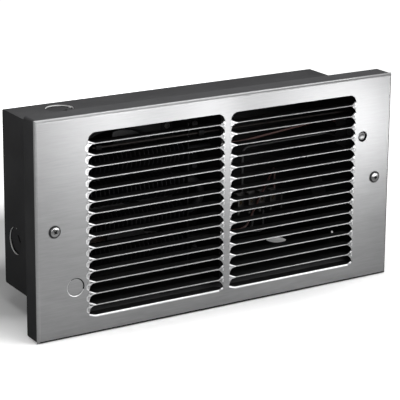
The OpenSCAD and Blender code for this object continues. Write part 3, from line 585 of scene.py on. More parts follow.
# Painted shade: near-black for the outer edge, rim and shank of the face screws.
SCREW_RIM_SHADE = DulledMetal("screw_rim_shade", (0.012, 0.012, 0.0125), 0.35, tones=(0.95, 1.025))
PLATED = DulledMetal("zinc_plate", (0.03, 0.03, 0.029), 0.4, 0.0002)
BARE_STEEL = DulledMetal("drawn_steel", (0.03, 0.03, 0.031), 0.42, 0.0002)
FAN_ALUMINIUM = DulledMetal("fan_aluminium", (0.02, 0.02, 0.0205), 0.5, 0.0003,
                            along=(300.0, 300.0, 300.0))
CAST_ZINC = TurnedMetal("cast_zinc", (0.2, 0.2, 0.195), 0.5, 0.0004, tones=(0.88, 1.06),
                        along=(700.0, 700.0, 700.0))
TURNED_BRASS = DulledMetal("turned_brass", (0.03, 0.022, 0.01), 0.4, 0.0002)
SINTERED_BRONZE = TurnedMetal("sintered_bronze", (0.30, 0.18, 0.09), 0.5, 0.0002,
                              tones=(0.85, 1.075), along=(1500.0, 1500.0, 1500.0))
COPPER_TUBE = DulledMetal("capillary_copper", (0.005, 0.0036, 0.0032), 0.55,
                          tones=(0.75, 1.125))
GREEN_SCREW = TurnedMetal("green_zinc", (0.02, 0.22, 0.06), 0.28, 0.0002)
STAMPED_STACK = Laminated("stamped_stack", (0.03, 0.032, 0.04), 0.5)
COPPER_COIL = Winding("copper_coil", (0.02, 0.009, 0.005), 0.5)
HOT_STEEL = HeatedSheath("hot_steel", (0.008, 0.0075, 0.0075), 0.6, hot=(0.005, 0.0055, 0.007))
WHITE_CERAMIC = Glazed("white_ceramic", (0.05, 0.048, 0.044), 0.4, 0.0003)
SWITCH_CASE = Moulded("case_plastic", (0.012, 0.012, 0.013), 0.45, 0.0003)
GREY_BUTTON = Moulded("grey_button", (0.045, 0.045, 0.046), 0.14)
BLOCK_PLASTIC = Moulded("phenolic", (0.010, 0.009, 0.008), 0.5, 0.0003)
SUPPLY_JACKET = Moulded("supply_jacket", (0.009, 0.009, 0.0095), 0.55)
ELEMENT_JACKET = Moulded("element_jacket", (0.028, 0.008, 0.006), 0.55)
BLACK_JACKET = Moulded("black_jacket", (0.008, 0.008, 0.009), 0.45)


# ---------------------------------------------------------------- meshes


class Shell:
    """Surface made of separate patches, in millimetres. Seams between patches stay sharp."""

    def __init__(self) -> None:
        """Start with no patches."""
        self.points: list[Point] = []
        self.faces: list[tuple[int, ...]] = []
        self.parts: list[int] = []

    def patch(self, points: list[Point], faces: list[tuple[int, ...]], part: int = 0) -> None:
        """Add points and the faces between them.

        Args:
            points: places in millimetres.
            faces: indices into points.
            part: which of the piece's finishes the patch has.
        """
        first = len(self.points)
        self.points += points
        self.faces += [tuple(first + i for i in face) for face in faces]
        self.parts += [part] * len(faces)

    def rows(self, rows: list[list[Point]], closed: bool = False, part: int = 0) -> None:
        """Add a patch of quads between rows with equal numbers of points.

        Args:
            rows: rows of points, from one edge of the patch to the other.
            closed: whether each row is a loop.
            part: which of the piece's finishes the patch has.
        """
        count = len(rows[0])
        last = count if closed else count - 1
        faces = [(r * count + i, r * count + (i + 1) % count,
                  (r + 1) * count + (i + 1) % count, (r + 1) * count + i)
                 for r in range(len(rows) - 1) for i in range(last)]
        self.patch([p for row in rows for p in row], faces, part)

    def cap(self, loop: list[Point], flip: bool = False, part: int = 0) -> None:
        """Close a convex loop with one face, turned over where flip is set."""
        order = tuple(range(len(loop)))
        self.patch(loop, [order[::-1] if flip else order], part)

    def turned(self, centre: Point, profile: list[Place], steps: int = 64,
               facing: Facing = Facing.FRONT, part: int = 0) -> None:
        """Add a surface turned round an axis that goes into a wall.

        Args:
            centre: a point on the axis.
            profile: radius of each ring and its depth into the wall.
            steps: points on each ring.
            facing: the wall.
            part: which of the piece's finishes the surface has.
        """
        rings = [[facing.place(centre, r * math.cos(2 * math.pi * k / steps), y,
                               r * math.sin(2 * math.pi * k / steps)) for k in range(steps)]
                 for r, y in profile]
        self.rows(rings, closed=True, part=part)

    def bar(self, facing: Facing, centre: Point, low: Point, high: Point, turn: float) -> None:
        """Add a straight bar or slot, turned in the plane of a wall.

        Args:
            facing: the wall.
            centre: middle of the feature that the bar belongs to.
            low: lowest corner: along the wall, into it, and across.
            high: highest corner.
            turn: angle in degrees.
        """
        c, s = math.cos(math.radians(turn)), math.sin(math.radians(turn))
        loops = [[facing.place(centre, a * c - b * s, depth, a * s + b * c)
                  for a, b in ((low[0], low[2]), (high[0], low[2]),
                               (high[0], high[2]), (low[0], high[2]))]
                 for depth in (low[1], high[1])]
        self.cap(loops[0])
        self.cap(loops[1], flip=True)
        self.rows(loops[::-1], closed=True)

    def build(self, name: str, *finishes: Finish) -> bpy.types.Object:
        """Make the object in metres, smooth within each patch.

        Args:
            name: name of the object.
            finishes: finishes of its surfaces, in the order of their numbers.

        Returns:
            The new object, linked to the scene.
        """
        mesh = bpy.data.meshes.new(name)
        mesh.from_pydata([Vector(p) * MM for p in self.points], [], self.faces)
        for finish in finishes:
            mesh.materials.append(finish.material())
        mesh.polygons.foreach_set("material_index", self.parts)
        mesh.validate()
        mesh.shade_smooth()
        made = bpy.data.objects.new(name, mesh)
        bpy.context.scene.collection.objects.link(made)
        return made


def arc(start: float, end: float, steps: int) -> list[float]:
    """Return angles in radians from start to end, given in degrees."""
    return [math.radians(start + (end - start) * k / steps) for k in range(steps + 1)]


def settle(piece: bpy.types.Object, body: Body, slot: str, *nodes: str) -> bpy.types.Object:
    """Let a piece ride on its body and stand for its nodes.

    Args:
        piece: the new piece.
        body: the body that it moves with.
        slot: the record's slot of its finish; not used.
        nodes: the CAD nodes that it replaces.

    Returns:
        The piece.
    """
    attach(piece, body.value)
    if nodes:
        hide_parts(*nodes)
    LOG.info("%s: %d faces, rides on %s", piece.name, len(piece.data.polygons), body.value)
    return piece


def carved(piece: bpy.types.Object, cutter: bpy.types.Object) -> None:
    """Cut one mesh out of another and remove the cutter. The cut keeps the cutter's finish.

    Args:
        piece: the object that is cut.
        cutter: the object that it is cut with.
    """
    cut = piece.modifiers.new("cut", "BOOLEAN")
    cut.operation = "DIFFERENCE"
    cut.solver = "EXACT"
    cut.material_mode = "TRANSFER"
    cut.object = cutter
    applied(piece)
    bpy.data.objects.remove(cutter)


def applied(piece: bpy.types.Object) -> None:
    """Turn a piece's modifiers into its mesh.

    Args:
        piece: the object whose modifiers are applied.
    """
    graph = bpy.context.evaluated_depsgraph_get()
    mesh = bpy.data.meshes.new_from_object(piece.evaluated_get(graph))
    piece.modifiers.clear()
    piece.data = mesh


def weld(piece: bpy.types.Object) -> None:
    """Join points of a mesh that lie on each other, and make its faces point outward.

    Args:
        piece: the object.
    """
    mesh = bmesh.new()
    mesh.from_mesh(piece.data)
    bmesh.ops.remove_doubles(mesh, verts=mesh.verts, dist=WELD)
    bmesh.ops.recalc_face_normals(mesh, faces=mesh.faces)
    mesh.to_mesh(piece.data)
    mesh.free()


def joined(piece: bpy.types.Object, *others: bpy.types.Object) -> None:
    """Move the meshes of other objects into one piece.

    Args:
        piece: the object that keeps all meshes.
        others: objects that are used up.
    """
    mesh = bmesh.new()
    mesh.from_mesh(piece.data)
    for other in others:
        first = len(piece.data.materials)
        for material in other.data.materials:
            piece.data.materials.append(material)
        known = len(mesh.faces)
        mesh.from_mesh(other.data)
        mesh.faces.ensure_lookup_table()
        for face in mesh.faces[known:]:
            face.material_index += first
        bpy.data.objects.remove(other)
    mesh.to_mesh(piece.data)
    mesh.free()


def evened(piece: bpy.types.Object) -> None:
    """Shade a piece smooth where it is round, with flat faces left flat.

    Args:
        piece: the object.
    """
    piece.data.shade_smooth()
    piece.data.set_sharp_from_angle(angle=math.radians(SHARP_FROM))
    even = piece.modifiers.new("even", "WEIGHTED_NORMAL")
    even.keep_sharp = True
    even.weight = 100
    applied(piece)


# ---------------------------------------------------------------- face plate


class Skin(IntEnum):
    """Finishes of the face plate, in the order of its material slots: the brushed front, black
    painted shade, and two brighter copies of the steel as painted highlights.
    """

    FRONT = 0
    PAINTED_SHADE = 1
    PAINTED_HIGHLIGHT = 2
    ROLL_HIGHLIGHT = 3


@dataclass
class Outline:
    """Closed outline of a hole in the plate, with directions that point into the hole."""

    points: list[Place] = field(default_factory=list)
    inward: list[Place] = field(default_factory=list)
    rolled: list[bool] = field(default_factory=list)
    edge: float = 0.1

    def add(self, x: float, z: float, angle: float, rolled: bool) -> None:
        """Add a point.

        Args:
            x: place along X.
            z: place along Z.
            angle: direction into the hole, in radians.
            rolled: whether the edge is rolled here, and not cut.
        """
        self.points.append((x, z))
        self.inward.append((math.cos(angle), math.sin(angle)))
        self.rolled.append(rolled)

    def moved(self, distance: float) -> list[Place]:
        """Return the outline moved into the hole by a distance."""
        return [(x + a * distance, z + b * distance)
                for (x, z), (a, b) in zip(self.points, self.inward)]


@dataclass
class FacePlate:
    """Brushed face plate with rolled edges, two columns of louvres and its holes.

    Sizes are in millimetres and angles in degrees. The rolled edges are a brighter copy of the
    steel as a painted highlight, and change their finish to painted_shade_part at the angle
    painted_shade_from, in the order top, left, bottom and right; on the bottom and right that
    finish is black as painted shade. The wedge, the spot and the blob at a louvre's ends are
    painted highlights in a brighter copy of the steel, and the grid is the points that the
    dimples at the strips' ends need. Past fold_shade_from each louvre's roll is black as
    painted shade, as are its blade and the back of the sheet.
    """

    width: float = 420.0
    height: float = 224.0
    middle_z: float = MIDDLE_Z
    front_y: float = FRONT_Y
    sheet: float = 1.0
    edge_r: float = 3.0
    painted_shade_from: tuple[float, ...] = (48.0, 48.0, 12.0, 15.0)
    painted_shade_part: tuple[Skin, ...] = (Skin.ROLL_HIGHLIGHT, Skin.ROLL_HIGHLIGHT, Skin.PAINTED_SHADE, Skin.PAINTED_SHADE)
    roll_steps: tuple[int, int] = (6, 5)
    rows: int = 16
    pitch: float = 11.77
    field_trim: float = 0.9
    field_low: float = field(init=False)
    lefts: Place = (-153.9, 8.5)
    louvre_w: float = 155.4
    louvre_h: float = 10.75
    corner_r: float = 8.6
    corner_steps: int = 14
    corner_cut: Place = (8.0, 2.5)
    right_cut: Place = (5.0, 2.6)
    cut_steps: int = 5
    cut_power: float = 1.25
    wall_steps: int = 4
    fold_drop: float = 0.75
    fold_r: float = 0.95
    fold_steps: int = 7
    last_drop: float = 1.2
    last_r: float = 2.4
    end_r: float = 2.2
    least_r: float = 0.05
    fold_shade_from: float = 54.0
    wedge: tuple[float, float, float] = (0.3, 9.0, 3.0)
    spot: float = 1.0
    blob_at: Place = (0.6, 4.6)
    blob_r: Place = (2.3, 3.5)
    blade_end_y: float = -13.49
    blade_r: float = 6.7
    blade_steps: int = 8
    blade_gap: float = 0.3
    dimple_depth: float = 1.1
    dimple_round: float = 0.4
    dimple_r: float = 3.6
    dimple_more: float = 1.6
    dimple_step: float = 3.2
    dimple_in: float = 2.9
    dimple_drop: float = 2.6
    grid: float = 0.6
    grid_out: float = 0.2
    grid_back: float = 1.0
    grid_top: float = 1.6
    grid_columns: tuple[int, int] = (-6, 13)
    grid_rows: int = 17
    hole_margin: float = 0.3
    edge_gap: float = 0.25
    edge_steps: int = 3
    same_place: float = 1e-5
    least_area: float = 1e-7
    knob_x: float = -168.5
    knob_z: float = -63.3
    knob_r: float = 8.6
    knob_sink: float = 0.75
    knob_edge: float = 0.95
    knob_corner: float = 0.12
    knob_shade: Place = (0.45, 0.35)
    knob_steps: int = 5
    knob_ring: int = 72
    reset_at: Place = RESET_AT
    reset_r: float = 5.7
    screw_x: float = SCREW_X
    screw_r: float = 2.6
    screw_ring: int = 32
    folds: list[float] = field(init=False)

    def __post_init__(self) -> None:
        """Work out where the rows of louvres start."""
        self.field_low = self.middle_z - (self.rows * self.pitch - self.field_trim) / 2
        self.folds = [self.field_low + row * self.pitch for row in range(self.rows)]

    def ends(self) -> list[tuple[float, int]]:
        """Return both ends of each column of louvres, with the direction into it."""
        return [pair for left in self.lefts
                for pair in ((left, 1), (left + self.louvre_w, -1))]

    def strip(self, z: float) -> int:
        """Return the number of the strip nearest to a height, or 0 outside the strips."""
        row = round((z + self.dimple_drop - self.field_low) / self.pitch)
        return row if 1 <= row < self.rows else 0

    def sink(self, x: float, z: float) -> float:
        """Depth that the sheet is pressed in round a strip between two louvres.

        Args:
            x: place along X.
            z: place along Z.

        Returns:
            The depth in millimetres.
        """
        row, depth = self.strip(z), 0.0
        if not row:
            return depth
        base = self.folds[row] - self.dimple_drop
        for end, side in self.ends():
            radius = self.dimple_r + (self.dimple_more if end == self.lefts[0] else 0.0)
            away = math.hypot(x - end - side * self.dimple_in, z - base)
            part = min(max((radius - away) / self.dimple_step, 0.0), 1.0)
            rounded = 1 + self.dimple_round - self.dimple_round * part
            depth = max(depth, self.dimple_depth * part * rounded)
        return depth

    def painted_highlight(self, x: float, z: float) -> bool:
        """Whether a place at a louvre's end gets the brighter steel, as a painted highlight.

        Args:
            x: place along X.
            z: place along Z.

        Returns:
            True if it is.
        """
        row = self.strip(z)
        if not row:
            return False
        up = z - self.folds[row]
        before, along_strip, below = self.wedge
        across, drop = self.blob_at
        low_r, high_r = self.blob_r
        for end, side in self.ends():
            along = (x - end) * side
            far = along_strip if side > 0 else self.spot
            if -before < along < far and -below < up < before:
                return True
            away = math.hypot(x - end - side * across, up + drop)
            if end == self.lefts[0] and low_r < away < high_r and along < across:
                return True
        return False

    def louvre(self, left: float, row: int) -> Outline:
        """Outline of one louvre, with its rolled lower edge.

        Args:
            left: left end of the louvre.
            row: number of the row, from the lowest.

        Returns:
            The outline, from the left end of the roll round to the same place.
        """
        made = Outline()
        right, top = left + self.louvre_w, self.folds[row] + self.louvre_h
        low = self.folds[row] - (self.fold_drop if row else self.last_drop)
        (reach, rise), (far, lift), r = self.corner_cut, self.right_cut, self.corner_r
        steep, sheer = math.atan2(reach, rise), math.atan2(far, lift)
        steps, last = range(self.cut_steps + 1), self.wall_steps
        for t in (k / self.cut_steps for k in steps):
            made.add(left + reach * t, low + rise * (1 - t) ** self.cut_power,
                     steep + (math.pi / 2 - steep) * t, True)
        for t in (k / self.cut_steps for k in reversed(steps)):
            made.add(right - far * t, low + lift * (1 - t) ** self.cut_power,
                     math.pi - sheer - (math.pi / 2 - sheer) * t, True)
        side, bank = top - r - (low + rise), top - r - (low + lift)
        for k in range(1, last):
            made.add(right, low + lift + bank * k / last, math.pi, False)
        for start, middle in ((0, right - r), (90, left + r)):
            for a in arc(start, start + 90, self.corner_steps):
                made.add(middle + r * math.cos(a), top - r + r * math.sin(a), a + math.pi, False)
        for k in range(last - 1, 0, -1):
            made.add(left, low + rise + side * k / last, 0.0, False)
        return made

    def round_hole(self, x: float, z: float, r: float, edge: float = 0.25,
                   steps: int = 56) -> Outline:
        """Outline of a round hole.

        Args:
            x: middle along X.
            z: middle along Z.
            r: radius.
            edge: radius that its front edge is rounded with.
            steps: points on the outline.

        Returns:
            The outline.
        """
        made = Outline(edge=edge)
        for k in range(steps):
            a = 2 * math.pi * k / steps
            made.add(x + r * math.cos(a), z + r * math.sin(a), a + math.pi, False)
        return made

    def holes(self) -> list[Outline]:
        """Work out all holes in the plate.

        Returns:
            Their outlines, those of the louvres first.
        """
        made = [self.louvre(left, row) for left in self.lefts for row in range(self.rows)]
        made.append(self.round_hole(self.knob_x, self.knob_z, self.knob_r, self.knob_edge))
        made.append(self.round_hole(*self.reset_at, self.reset_r))
        made += [self.round_hole(side.value * self.screw_x, self.middle_z, self.screw_r,
                                 steps=self.screw_ring) for side in Side]
        return made

    def spread(self) -> list[Place]:
        """Work out points that give the dimples at the strips' ends enough faces.

        Returns:
            The points.
        """
        found = []
        for base in self.folds[1:]:
            for end, side in self.ends():
                mid = end - side * self.grid_out
                for i in range(*self.grid_columns):
                    x = mid + side * (i + 0.5) * self.grid - side * self.grid_back
                    found += [(x, base + self.grid_top - k * self.grid)
                              for k in range(self.grid_rows)]
        return found

    def flat(self, shell: Shell, holes: list[Outline], y: float,
             extra: list[Place], back: bool) -> None:
        """Add the front or back surface of the sheet.

        Args:
            shell: the shell that gets the patch.
            holes: outlines of the holes.
            y: plane of the surface where it isn't pressed in.
            extra: points inside the surface.
            back: whether the surface faces back.
        """
        half_w, half_h = self.width / 2 - self.edge_r, self.height / 2 - self.edge_r
        points = [(-half_w, self.middle_z - half_h), (half_w, self.middle_z - half_h),
                  (half_w, self.middle_z + half_h), (-half_w, self.middle_z + half_h)]
        edges = [(0, 1), (1, 2), (2, 3), (3, 0)]
        rings = []
        for hole in holes:
            first = len(points)
            ring = hole.moved(0.0 if back else -hole.edge)
            rings.append(ring)
            points += ring
            edges += [(first + i, first + (i + 1) % len(ring)) for i in range(len(ring))]
        m = self.hole_margin
        boxes = [(min(x for x, _ in r) - m, max(x for x, _ in r) + m,
                  min(z for _, z in r) - m, max(z for _, z in r) + m) for r in rings]

        def near(x: float, z: float) -> list[list[Place]]:
            """Holes whose boxes hold a place."""
            return [ring for ring, b in zip(rings, boxes) if b[0] < x < b[1] and b[2] < z < b[3]]

        points += [(x, z) for x, z in extra
                   if not any(self.inside(x, z, ring) or self.close(x, z, ring)
                              for ring in near(x, z))]
        places, _, faces, _, _, _ = geometry.delaunay_2d_cdt(
            [Vector(p) for p in points], edges, [], 2, self.same_place)
        made = []
        for a, b, c in faces:
            area = (places[b] - places[a]).cross(places[c] - places[a])
            mid = (places[a] + places[b] + places[c]) / 3
            if abs(area) < self.least_area or any(self.inside(mid.x, mid.y, ring)
                                                  for ring in near(mid.x, mid.y)):
                continue
            made.append((a, b, c) if (area > 0) != back else (a, c, b))
        # The back of the sheet is black as painted shade, and faces at the louvres' ends get the
        # brighter steel as a painted highlight.
        painted_highlight = [] if back else [face for face in made if self.painted_highlight(
            sum(places[i].x for i in face) / 3, sum(places[i].y for i in face) / 3)]
        known = set(painted_highlight)
        spots = [(p.x, y + self.sink(p.x, p.y), p.y) for p in places]
        shell.patch(spots, [face for face in made if face not in known],
                    Skin.PAINTED_SHADE if back else Skin.FRONT)
        shell.patch(spots, painted_highlight, Skin.PAINTED_HIGHLIGHT)

    @staticmethod
    def inside(x: float, z: float, ring: list[Place]) -> bool:
        """Whether a place lies in a hole.

        Args:
            x: place along X.
            z: place along Z.
            ring: the hole's outline.

        Returns:
            True if it does.
        """
        found = False
        for (x1, z1), (x2, z2) in zip(ring, ring[1:] + ring[:1]):
            if (z1 > z) != (z2 > z) and x < (x2 - x1) * (z - z1) / (z2 - z1) + x1:
                found = not found
        return found

    def close(self, x: float, z: float, ring: list[Place]) -> bool:
        """Whether a place lies near the edge of a hole.

        Args:
            x: place along X.
            z: place along Z.
            ring: the hole's outline.

        Returns:
            True if it does.
        """
        for (x1, z1), (x2, z2) in zip(ring, ring[1:] + ring[:1]):
            span = (x2 - x1) ** 2 + (z2 - z1) ** 2
            t = min(max(((x - x1) * (x2 - x1) + (z - z1) * (z2 - z1)) / span, 0), 1)
            if math.hypot(x1 + t * (x2 - x1) - x, z1 + t * (z2 - z1) - z) < self.edge_gap:
                return True
        return False

    def cut_walls(self, shell: Shell, hole: Outline) -> None:
        """Add the cut edge of a hole, with its front corner rounded.

        Args:
            shell: the shell that gets the patch.
            hole: outline of the hole.
        """
        g = hole.edge
        rings = [(-g * (1 - math.sin(a)), g * (1 - math.cos(a)))
                 for a in arc(0, 90, self.edge_steps)]
        rings.append((0.0, self.sheet))
        rows = []
        for out, y in rings:
            moved = hole.moved(out)
            rows.append([(p[0], self.front_y + self.sink(*q) + y, p[1])
                         for p, q in zip(moved, hole.moved(-g))])
        keep = [not (r and hole.rolled[(i + 1) % len(hole.rolled)])
                for i, r in enumerate(hole.rolled)]
        count = len(hole.points)
        faces = [(r * count + i, (r + 1) * count + i, (r + 1) * count + (i + 1) % count,
                  r * count + (i + 1) % count)
                 for r in range(len(rows) - 1) for i in range(count) if keep[i]]
        spots = [p for row in rows for p in row]
        # The cut walls get the brighter steel as a painted highlight; in the knob's hole the
        # upper walls are black as painted shade instead.
        if hole.edge < self.knob_edge:  # every hole but the knob's
            shell.patch(spots, faces, Skin.PAINTED_HIGHLIGHT)
            return
        upper = {i for i, (u, v) in enumerate(hole.inward)
                 if u < self.knob_shade[0] and v < self.knob_shade[1]}
        shell.patch(spots, [face for face in faces if face[0] % count in upper], Skin.PAINTED_SHADE)
        shell.patch(spots, [face for face in faces if face[0] % count not in upper], Skin.PAINTED_HIGHLIGHT)

    def fold(self, shell: Shell, hole: Outline, radius: float) -> None:
        """Add the rolled lower edge of a louvre and the blade behind it.

        Args:
            shell: the shell that gets the patches.
            hole: outline of the louvre.
            radius: outside radius of the roll.
        """
        roll = [i for i, r in enumerate(hole.rolled) if r]
        g, half = hole.edge, len(roll) // 2
        start = hole.moved(-g)
        shares = [min(k, len(roll) - 1 - k) / (half - 1) for k in range(len(roll))]
        wide = [radius + (self.end_r - radius) * max(0.0, 1 - share) for share in shares]
        middle = Skin.PAINTED_HIGHLIGHT if radius == self.last_r else Skin.FRONT
        # From the left: a corner, the long straight edge, a corner and its end. The left corner,
        # the right end and the long edge of the lowest louvre get the brighter steel as painted
        # highlights; past fold_shade_from, and inside, the roll is black as painted shade.
        ends = ((0, half, Skin.PAINTED_HIGHLIGHT), (half - 1, half + 1, middle),
                (half, 2 * half - 2, Skin.FRONT), (2 * half - 3, 2 * half, Skin.PAINTED_HIGHLIGHT))
        for span, inner in (((0, self.fold_shade_from), False), ((self.fold_shade_from, 90), False),
                            ((0, 90), True)):
            rows = []
            for a in arc(*span, self.fold_steps):
                row = []
                for i, outer in zip(roll, wide):
                    r = max(outer - self.sheet, self.least_r) if inner else outer
                    (x, z), (u, v) = hole.points[i], hole.inward[i]
                    out = -g + r * math.sin(a)
                    row.append((x + u * out, self.front_y + self.sink(*start[i])
                                + outer - r * math.cos(a), z + v * out))
                rows.append(row)
            for first, last, part in ends:
                strip = [row[first:last] for row in rows]
                shell.rows(strip if inner else strip[::-1],
                           part=Skin.PAINTED_SHADE if span[1] == 90 else part)
        left = start[roll[half - 1]]
        self.blade(shell, hole.points[roll[0]][0] + self.blade_gap,
                   hole.points[roll[-1]][0] - self.blade_gap,
                   self.front_y + self.sink(*left) + radius, left[1] + radius)

    def blade(self, shell: Shell, left: float, right: float, y: float, top: float) -> None:
        """Add the flat blade that runs back from a roll.

        Args:
            shell: the shell that gets the patches.
            left: left end of the blade.
            right: right end of the blade.
            y: where the blade starts.
            top: height of its top surface.
        """
        r, end = self.blade_r, self.blade_end_y
        loop = [(left, y), (right, y)]
        for start, middle in ((0, right - r), (90, left + r)):
            loop += [(middle + r * math.cos(a), end - r + r * math.sin(a))
                     for a in arc(start, start + 90, self.blade_steps)]
        upper = [(x, b, top) for x, b in loop]
        lower = [(x, b, top - self.sheet) for x, b in loop]
        # The blade is black all over as painted shade.
        shell.cap(upper, part=Skin.PAINTED_SHADE)
        shell.cap(lower, flip=True, part=Skin.PAINTED_SHADE)
        shell.rows([lower, upper], closed=True, part=Skin.PAINTED_SHADE)

    def rim(self, shell: Shell) -> None:
        """Add the rolled edges all round, outside, lip and inside.

        Args:
            shell: the shell that gets the patches.
        """
        half_w, half_h = self.width / 2 - self.edge_r, self.height / 2 - self.edge_r
        lip_y = self.front_y + self.edge_r

        def ring(radius: float, a: float) -> list[Point]:
            """The four corners of the plate at one angle of the roll.

            Args:
                radius: radius of the roll.
                a: angle in radians, 0 at the front.

            Returns:
                The corners, from the upper right to the left.
            """
            out = radius * math.sin(a)
            return [(sx * (half_w + out), lip_y - radius * math.cos(a),
                     self.middle_z + sz * (half_h + out))
                    for sx, sz in ((1, 1), (-1, 1), (-1, -1), (1, -1))]

        outer, inner, edge = self.edge_r, self.edge_r - self.sheet, math.pi / 2
        lit, dim = self.roll_steps
        # Painted highlight and shade: the outside of each roll is the brighter steel up to
        # painted_shade_from and then painted_shade_part, which is black on the bottom and right;
        # the inside of the roll is black as painted shade.
        for k, (shade, part) in enumerate(zip(self.painted_shade_from, self.painted_shade_part)):
            for rings, skin in (
                    ([ring(outer, a) for a in arc(0, shade, lit)][::-1], Skin.ROLL_HIGHLIGHT),
                    ([ring(outer, a) for a in arc(shade, 90, dim)][::-1], part),
                    ([ring(inner, edge), ring(outer, edge)], part),
                    ([ring(inner, a) for a in arc(0, 90, lit)], Skin.PAINTED_SHADE)):
                shell.rows([[r[k], r[(k + 1) % 4]] for r in rings], part=skin)

    def knob_blank(self, shell: Shell) -> None:
        """Add the disc that is sheared half through where a control knob would go.

        Args:
            shell: the shell that gets the patch.
        """
        r, y, c = self.knob_r, self.knob_sink, self.knob_corner
        centre = (self.knob_x, self.front_y, self.knob_z)
        face = [(TIP, y)] + [(r - c + c * math.sin(a), y + c - c * math.cos(a))
                             for a in arc(0, 90, self.knob_steps)]
        wall = [face[-1], (r, y + self.sheet), (TIP, y + self.sheet)]
        for profile in (face, wall):
            shell.turned(centre, profile[::-1], self.knob_ring)

    def build(self) -> bpy.types.Object:
        """Build the plate.

        Returns:
            The plate, which stands for the node face_plate.
        """
        shell = Shell()
        holes = self.holes()
        self.flat(shell, holes, self.front_y, self.spread(), back=False)
        self.flat(shell, holes, self.front_y + self.sheet, [], back=True)
        for index, hole in enumerate(holes):
            self.cut_walls(shell, hole)
            if index < len(self.lefts) * self.rows:
                self.fold(shell, hole, self.fold_r if index % self.rows else self.last_r)
        self.rim(shell)
        self.knob_blank(shell)
        plate = shell.build("louvred_plate", PLATE_STEEL, PAINTED_SHADE_BLACK, PAINTED_HIGHLIGHT_STEEL, ROLL_HIGHLIGHT_STEEL)
        return settle(plate, Body.HEATER, "stainless", "face_plate")


# ---------------------------------------------------------------- screws, button and can


@dataclass
class FaceScrews:
    """Two domed screws with cross recesses that hold the face plate.

    The recess is cut by bars that are wider by flare above the head and narrower by taper at
    the bottom.
    """

    x: float = SCREW_X
    y: float = FRONT_Y
    z: float = MIDDLE_Z
    head_d: float = 12.7
    head_h: float = 2.4
    rim_h: float = 0.5
    shank_d: float = 4.0
    shank_l: float = 10.0
    point_l: float = 1.0
    recess_w: float = 1.5
    recess_r: float = 2.6
    recess_depth: float = 1.7
    flare: float = 1.15
    taper: float = 0.35
    narrowing: float = 0.25
    over: float = 1.0
    dome_steps: int = 14
    painted_shade_step: int = 10
    sharp: float = 28.0
    turn: Place = (38.0, 17.0)

    def head(self, shell: Shell, x: float) -> None:
        """Add one screw's head and shank.

        Args:
            shell: the shell that gets the patches.
            x: place along X.
        """
        half, rise = self.head_d / 2, self.head_h - self.rim_h
        ball = (half * half + rise * rise) / (2 * rise)
        top = math.asin(half / ball)
        steps, dark = self.dome_steps, self.painted_shade_step
        dome = [(max(ball * math.sin(a), TIP), -self.head_h + ball - ball * math.cos(a))
                for a in (top * k / steps for k in range(steps + 1))]
        sides = dome[dark:] + [(half, 0.0), (self.shank_d / 2, 0.0),
                               (self.shank_d / 2, self.shank_l),
                               (TIP, self.shank_l + self.point_l)]
        # The dome's outer edge, the rim and the shank get the near-black as painted shade round
        # the head.
        for part, profile in enumerate((dome[:dark + 1], sides)):
            shell.turned((x, self.y, self.z), profile[::-1], part=part)

    def slot(self, x: float, turn: float) -> bpy.types.Object:
        """Make one tapered bar of the cross that cuts a recess.

        Args:
            x: place along X.
            turn: angle of the bar in degrees.

        Returns:
            The cutter.
        """
        shell, loops = Shell(), []
        spin = Matrix.Rotation(math.radians(turn), 3, "Y")
        for depth, part in ((-self.over, self.flare), (self.recess_depth, self.taper)):
            a = self.recess_r * part
            b = self.recess_w / 2 * (1 - self.narrowing * (1 - part))
            y = self.y - self.head_h + depth
            loops.append([tuple(Vector((x, y, self.z)) + spin @ Vector((p, 0, q)))
                          for p, q in ((a, -b), (a, b), (-a, b), (-a, -b))])
        shell.cap(loops[0])
        shell.cap(loops[1], flip=True)
        shell.rows(loops[::-1], closed=True)
        # The cutter's black stays on the recess walls as painted shade.
        made = shell.build("recess_cutter", PAINTED_SHADE_BLACK)
        weld(made)
        return made

    def build(self) -> bpy.types.Object:
        """Build both screws.

        Returns:
            The screws, which stand for the node face_screws.
        """
        made = []
        for side, turn in zip(Side, self.turn):
            shell = Shell()
            self.head(shell, side.value * self.x)
            made.append(shell.build("domed_screws", SCREW_STEEL, SCREW_RIM_SHADE))
            weld(made[-1])
            for extra in (0, 90):
                carved(made[-1], self.slot(side.value * self.x, turn + extra))
        screws = made[0]
        joined(screws, made[1])
        screws.data.shade_smooth()
        screws.data.set_sharp_from_angle(angle=math.radians(self.sharp))
        return settle(screws, Body.HEATER, "polished_steel", "face_screws")


@dataclass
class ResetButton:
    """Grey button of the over-temperature cut-out, with a dished top and a dark collar."""

    at: Place = RESET_AT
    front_y: float = -22.6
    back_y: float = -18.6
    d: float = 9.2
    edge: float = 0.9
    collar: float = 1.3
    dish: float = 0.5
    stem_r: float = 2.0
    dish_steps: int = 6
    edge_from: float = 15.0
    edge_steps: int = 5
    ring: int = 48
    sharp: float = 40.0

    def build(self) -> bpy.types.Object:
        """Build the button with the stem of its node.

        Returns:
            The button, which stands for the node reset_button.
        """
        _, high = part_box("reset_button")
        end = high.y / MM
        half, stem, steps = self.d / 2, self.stem_r, self.dish_steps
        inner = half - self.collar
        depth = self.back_y - self.front_y
        dish = [(max(inner * t, TIP), self.dish * (1 - t * t))
                for t in (k / steps for k in range(steps + 1))]
        sides = [(inner, 0.0)]
        sides += [(half - self.edge + self.edge * math.sin(a), self.edge * (1 - math.cos(a)))
                  for a in arc(self.edge_from, 90, self.edge_steps)]
        sides += [(half, depth), (stem, depth), (stem, end - self.front_y),
                  (TIP, end - self.front_y)]
        centre = (self.at[0], self.front_y, self.at[1])
        shell = Shell()
        for part, profile in enumerate((dish, sides)):
            shell.turned(centre, profile[::-1], self.ring, part=part)
        button = shell.build("dished_button", GREY_BUTTON, SWITCH_CASE)
        button.data.set_sharp_from_angle(angle=math.radians(self.sharp))
        return settle(button, Body.RESET, "button", "reset_button")


